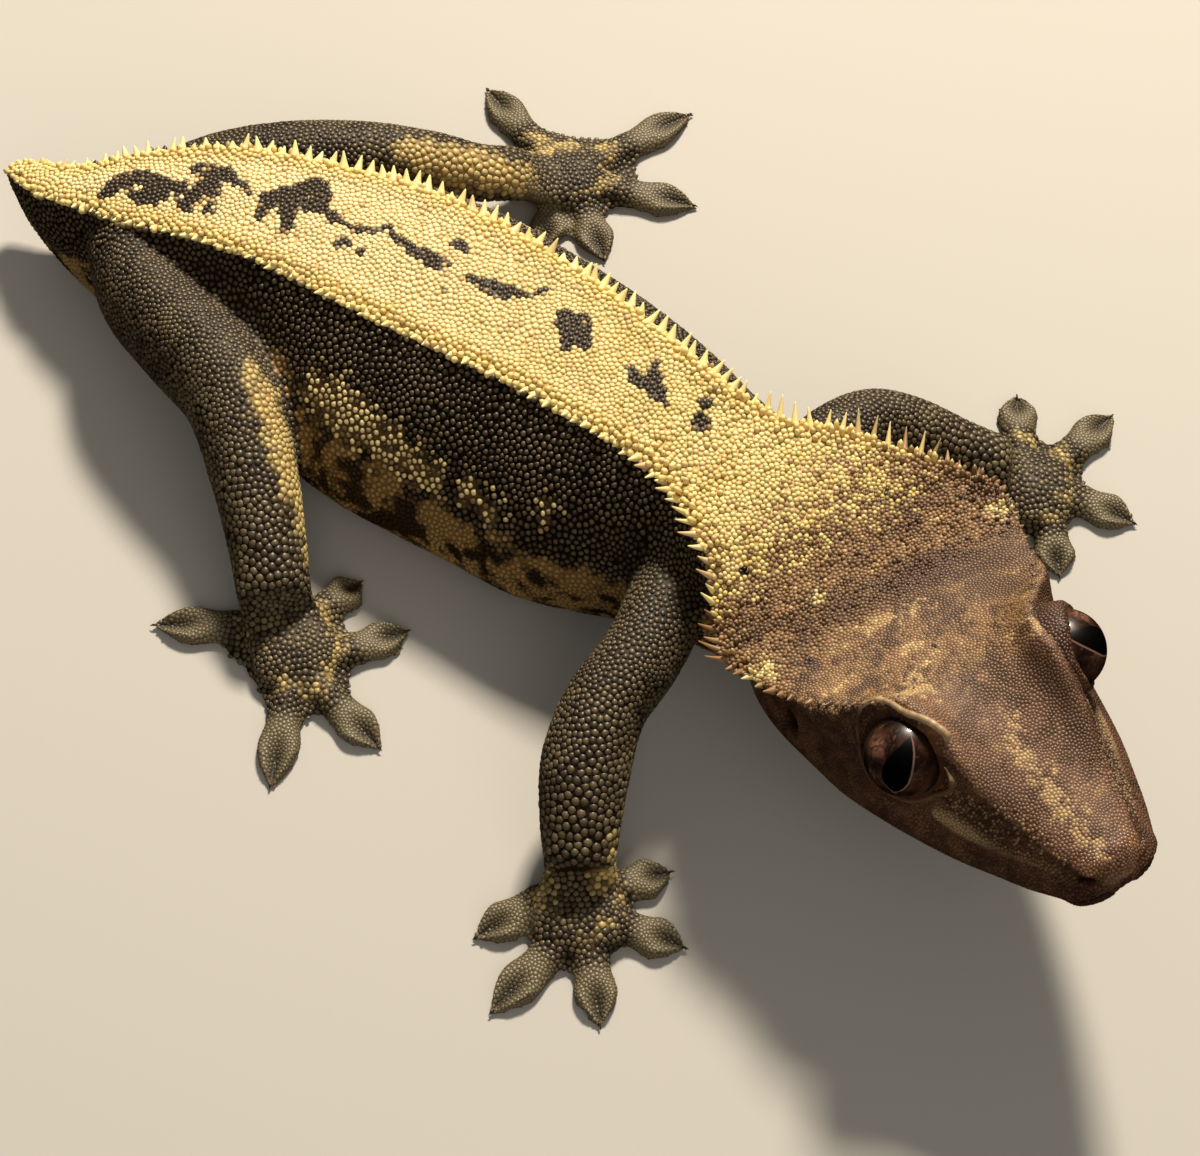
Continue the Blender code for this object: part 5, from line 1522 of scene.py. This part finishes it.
# %% The wet eye
def wet_eye():
    """Brown iris with pale threads behind a wet, clear scale: water-like film, IOR 1.376; towards the lids the iris
    turns near black, partly its own dark edge and partly painted shade.
    """
    finish = bpy.data.materials.new("wet_eye_with_brown_iris")
    finish.use_nodes = True
    tree = finish.node_tree
    shader = tree.nodes["Principled BSDF"]
    pupil = node(tree, "ShaderNodeAttribute", {"attribute_name": "pupil"}).outputs["Fac"]
    window = node(tree, "ShaderNodeAttribute", {"attribute_name": "window"}).outputs["Fac"]
    place = node(tree, "ShaderNodeAttribute", {"attribute_name": "iris"}).outputs["Vector"]

    def ramp(value, low, high):
        made = node(tree, "ShaderNodeMapRange", {"interpolation_type": "SMOOTHSTEP"}, Value=value)
        made.inputs["From Min"].default_value = low
        made.inputs["From Max"].default_value = high
        return made.outputs["Result"]

    def mixed(factor, first, second):
        made = node(tree, "ShaderNodeMix", {"data_type": "RGBA"}, i0=factor)
        for at, value in ((6, first), (7, second)):
            if isinstance(value, str):
                made.inputs[at].default_value = linear(value)
            else:
                tree.links.new(value, made.inputs[at])
        return made.outputs[2]

    threads = node(tree, "ShaderNodeTexNoise", None, Vector=place, Scale=1.6, Detail=4.0, Distortion=1.2)
    clouds = node(tree, "ShaderNodeTexNoise", None, Vector=place, Scale=0.45, Detail=2.0)
    front_rim = node(tree, "ShaderNodeAttribute", {"attribute_name": "front_rim"}).outputs["Fac"]
    flesh = node(tree, "ShaderNodeVectorMath", {"operation": "DISTANCE"}, i0=place, i1=(-1.5, 0.9, 0.0))
    colour = mixed(ramp(clouds.outputs["Fac"], 0.42, 0.62), "#1b0d08", "#3c2318")
    colour = mixed(ramp(threads.outputs["Fac"], 0.5, 0.8), colour, "#543a2e")
    pink = node(tree, "ShaderNodeMath", {"operation": "MULTIPLY"}, i0=ramp(flesh.outputs["Value"], 1.2, 0.1))
    tree.links.new(ramp(threads.outputs["Fac"], 0.35, 0.65), pink.inputs[1])
    colour = mixed(pink.outputs[0], colour, "#80594a")
    # Towards the lids the iris turns near black: partly its own dark edge, partly painted shade where the ball goes
    # under the lids.
    colour = mixed(ramp(window, 54, 80), colour, "#0c0503")
    near = node(tree, "ShaderNodeMath", {"operation": "ADD"}, i0=pupil, i1=0.12)
    rim = node(tree, "ShaderNodeMath", {"operation": "ABSOLUTE"}, i0=near)
    line = node(tree, "ShaderNodeMath", {"operation": "MULTIPLY"}, i0=ramp(rim.outputs[0], 0.1, 0.02), i1=front_rim)
    colour = mixed(line.outputs[0], colour, "#6f5547")
    colour = mixed(ramp(pupil, -0.07, 0.0), colour, "#020202")
    tree.links.new(colour, shader.inputs["Base Color"])
    shader.inputs["Roughness"].default_value = 0.35
    shader.inputs["IOR"].default_value = 1.376
    shader.inputs["Coat Weight"].default_value = 1.0
    shader.inputs["Coat Roughness"].default_value = 0.02
    shader.inputs["Coat IOR"].default_value = 1.376
    return finish


EYE_FINISH = wet_eye()
for name, side in (("eye_right", -1), ("eye_left", 1)):
    piece = add_piece("wet_" + name, eyeball("wet_" + name, side), EYE_FINISH)
    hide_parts(name)
print("eyes:", 2 * EYE_RADIUS, "mm across")

# %% [markdown]
# ## Rims of the eyes
# Over each eye stands a thin, pale fold of skin, thickest in front. Below, the skin meets the eye
# in soft, dark folds. Each fold is a tube swept round the eye at the angle where the socket opens.
# Its thickness and its colour change on the way, and small bumps make it crisp.

# %% Sweep the rims
RIM_STEPS, RIM_SIDES = 200, 14
# Thickness of the fold, from straight ahead over the top to the back and below.
RIM_THICKNESS = (0.28, 0.29, 0.25, 0.2, 0.13, 0.1, 0.12, 0.2)
FOLD_THICKNESS = (0.14, 0.04, 0.03, 0.06, 0.16, 0.17, 0.15, 0.18)


def skin_reach(side, outside):
    """How far from an eye's centre the skin stands, so many degrees outside its opening, step by step."""
    far, angle, turn = about_eye(skin, side)
    beside = (far < EYE_RADIUS + 1.5) & (np.abs(angle - opening(side, turn) - outside) < 3)
    step = np.round(turn[beside] * RIM_STEPS / (2 * math.pi)).astype(int) % RIM_STEPS
    reach = np.full(RIM_STEPS, EYE_RADIUS)
    np.maximum.at(reach, step, far[beside])
    window = 9
    wrapped = np.concatenate([reach[-window:], reach, reach[:window]])
    return np.convolve(wrapped, np.full(2 * window + 1, 1 / (2 * window + 1)), mode="valid")


def eye_rim(side, outside, thickness, lift, on_skin):
    """Grid of a fold round an eye, so many degrees outside the opening, with its turn at each step."""
    centre, axes = eye_axes(side)
    turns = np.linspace(0, 2 * math.pi, RIM_STEPS, endpoint=False)
    table = np.array([thickness, lift]).T
    thick, lift = smooth_rows(np.concatenate([table[-1:], table, table[:2]]), 1 + turns * 4 / math.pi).T
    thick = thick * (1 + 0.1 * np.sin(turns * 31) * np.sin(turns * 12.0 + side))
    if on_skin:
        lift = np.maximum(lift, skin_reach(side, outside) - EYE_RADIUS - 0.4 * thick)
    spread = np.radians(opening(side, turns) + outside)
    spoke = np.cos(turns)[:, None] * axes[0] + np.sin(turns)[:, None] * axes[1]
    out = spoke * np.sin(spread)[:, None] + axes[2] * np.cos(spread)[:, None]
    inward = axes[2] * np.sin(spread)[:, None] - spoke * np.cos(spread)[:, None]
    around = np.linspace(0, 2 * math.pi, RIM_SIDES, endpoint=False)[None, :, None]
    middle = centre + out * (EYE_RADIUS + lift + 0.7 * thick)[:, None]
    grid = middle[:, None] + thick[:, None, None] * (out[:, None] * np.cos(around) + inward[:, None] * np.sin(around))
    return grid, turns


def ring_mesh(name, grid):
    """Closed ring of quads through a grid of rings, with its faces pointing out."""
    rounds, sides = grid.shape[:2]
    ring, turn = np.meshgrid(np.arange(rounds), np.arange(sides), indexing="ij")
    after, beside = (ring + 1) % rounds, (turn + 1) % sides
    quads = np.stack([ring * sides + turn, ring * sides + beside, after * sides + beside,
                      after * sides + turn], axis=-1).reshape(-1, 4)
    mesh = fill_mesh(bpy.data.meshes.new(name), grid.reshape(-1, 3), [quads])
    work = bmesh.new()
    work.from_mesh(mesh)
    bmesh.ops.recalc_face_normals(work, faces=work.faces)
    work.to_mesh(mesh)
    work.free()
    return mesh


for name, side, outside, thickness, lift, pale in (
    ("eye_rim_right", -1, 3.0, RIM_THICKNESS, (0.1, 0.1, 0.12, 0.08, 0.08, 0.08, 0.1, 0.1), 0.7),
    ("eye_rim_left", 1, 3.0, FOLD_THICKNESS, (0.06,) * 8, 0.1),
    ("eye_fold_right", -1, 13.0, FOLD_THICKNESS, (0.1,) * 8, 0.0),
    ("eye_fold_left", 1, 13.0, FOLD_THICKNESS, (0.1,) * 8, 0.0),
):
    grid, turns = eye_rim(side, outside, thickness, lift, name == "eye_rim_right")
    mesh = ring_mesh(name, grid)
    places = points_of(mesh)
    turn = np.repeat(turns, RIM_SIDES)
    numbers = {key: np.full(len(places), -9.0) for key in MARKS}
    for key in ("snout", "limb", "pad", "lip", "dark", "pallor", "wet"):
        numbers[key] = np.zeros(len(places))
    over = blend(np.cos(turn - 1.35), 0.1, 0.4)
    numbers.update(crown=np.ones(len(places)), face=np.ones(len(places)))
    numbers["band"] = over * 2 - 1 if pale else numbers["band"]
    numbers["lip"] = pale * over
    numbers.update(root=places, tone=np.full(len(places), 0.6), lift=np.full(len(places), 0.85))
    give_numbers(mesh, numbers)
    add_piece(name, mesh, HEAD_FINISH)

# %% Claws
def horn():
    """Dark translucent keratin of a claw, polished by wear."""
    finish = bpy.data.materials.new("horn_claw")
    finish.use_nodes = True
    tree = finish.node_tree
    shader = tree.nodes["Principled BSDF"]
    streaks = node(tree, "ShaderNodeTexNoise", None, Scale=3000.0, Detail=2.0)
    place = node(tree, "ShaderNodeTexCoord")
    tree.links.new(place.outputs["Object"], streaks.inputs["Vector"])
    made = node(tree, "ShaderNodeMix", {"data_type": "RGBA"}, i0=streaks.outputs["Fac"])
    made.inputs[6].default_value = linear("#17110b")
    made.inputs[7].default_value = linear("#4a3a28")
    tree.links.new(made.outputs[2], shader.inputs["Base Color"])
    shader.inputs["Roughness"].default_value = 0.3
    shader.inputs["IOR"].default_value = 1.54
    return finish


CLAW_LENGTH, CLAW_RADIUS = 0.34, 0.08
claw_parts = []
for limb in LIMBS:
    for base, tip in TOES[limb]:
        ahead = unit(np.array(tip) - np.array(base))
        side = np.array([-ahead[1], ahead[0], 0.0])
        grid = []
        for share, thick in ((-0.6, 0.9), (0.0, 1.0), (0.4, 0.75), (0.75, 0.45), (1.0, 0.08)):
            middle = np.array([*(np.array(tip) + ahead * CLAW_LENGTH * (share - 0.25)), 0.4 - 0.2 * max(share, 0) ** 2])
            angles = np.linspace(0, 2 * math.pi, 10, endpoint=False)[:, None]
            grid.append(middle + CLAW_RADIUS * thick * (side * np.cos(angles) + np.array([0, 0, 1.2]) * np.sin(angles)))
        claw_parts.append(np.array(grid))
add_piece("claws", joined_shapes(claw_parts), horn())
print("claws:", len(claw_parts))

# %% [markdown]
# ## Stage and light
# A pale floor and one warm, soft light from behind on the animal's left model the beads of the
# skin. A wide, weak light from the front keeps the shaded side readable.

# %% Floor and lights
floor_data = bpy.data.meshes.new("floor")
floor_data.from_pydata([(-2, -2, 0), (2, -2, 0), (2, 2, 0), (-2, 2, 0)], [], [(0, 1, 2, 3)])
floor = bpy.data.objects.new("floor", floor_data)
floor.location.z = -0.00005
bpy.context.scene.collection.objects.link(floor)
floor_finish = bpy.data.materials.new("pale_paper")
floor_finish.use_nodes = True
floor_shader = floor_finish.node_tree.nodes["Principled BSDF"]
floor_shader.inputs["Base Color"].default_value = linear("#aaa7a1")
floor_shader.inputs["Roughness"].default_value = 0.85
floor_data.materials.append(floor_finish)
floor.visible_glossy = False


def area_light(name, place, size, watts, colour, mirrored_in_gloss):
    """A square soft light that shines at the middle of the animal."""
    data = bpy.data.lights.new(name, "AREA")
    data.size = size
    data.energy = watts
    data.color = colour
    light = bpy.data.objects.new(name, data)
    light.location = place
    light.rotation_euler = (Vector((0, 0, 0.01)) - Vector(place)).to_track_quat("-Z", "Y").to_euler()
    light.visible_glossy = mirrored_in_gloss
    bpy.context.scene.collection.objects.link(light)


area_light("key", (0.31, 0.13, 0.42), 0.08, 5.8, (1.0, 0.89, 0.73), True)
area_light("fill", (-0.35, -0.45, 0.45), 0.6, 1.7, (1.0, 0.93, 0.84), False)
world = bpy.data.worlds.new("studio")
bpy.context.scene.world = world
world.use_nodes = True
world.node_tree.nodes["Background"].inputs["Color"].default_value = (1.0, 0.95, 0.88, 1.0)
world.node_tree.nodes["Background"].inputs["Strength"].default_value = 0.22
world.cycles_visibility.glossy = False
bpy.context.scene.view_settings.view_transform = "Standard"
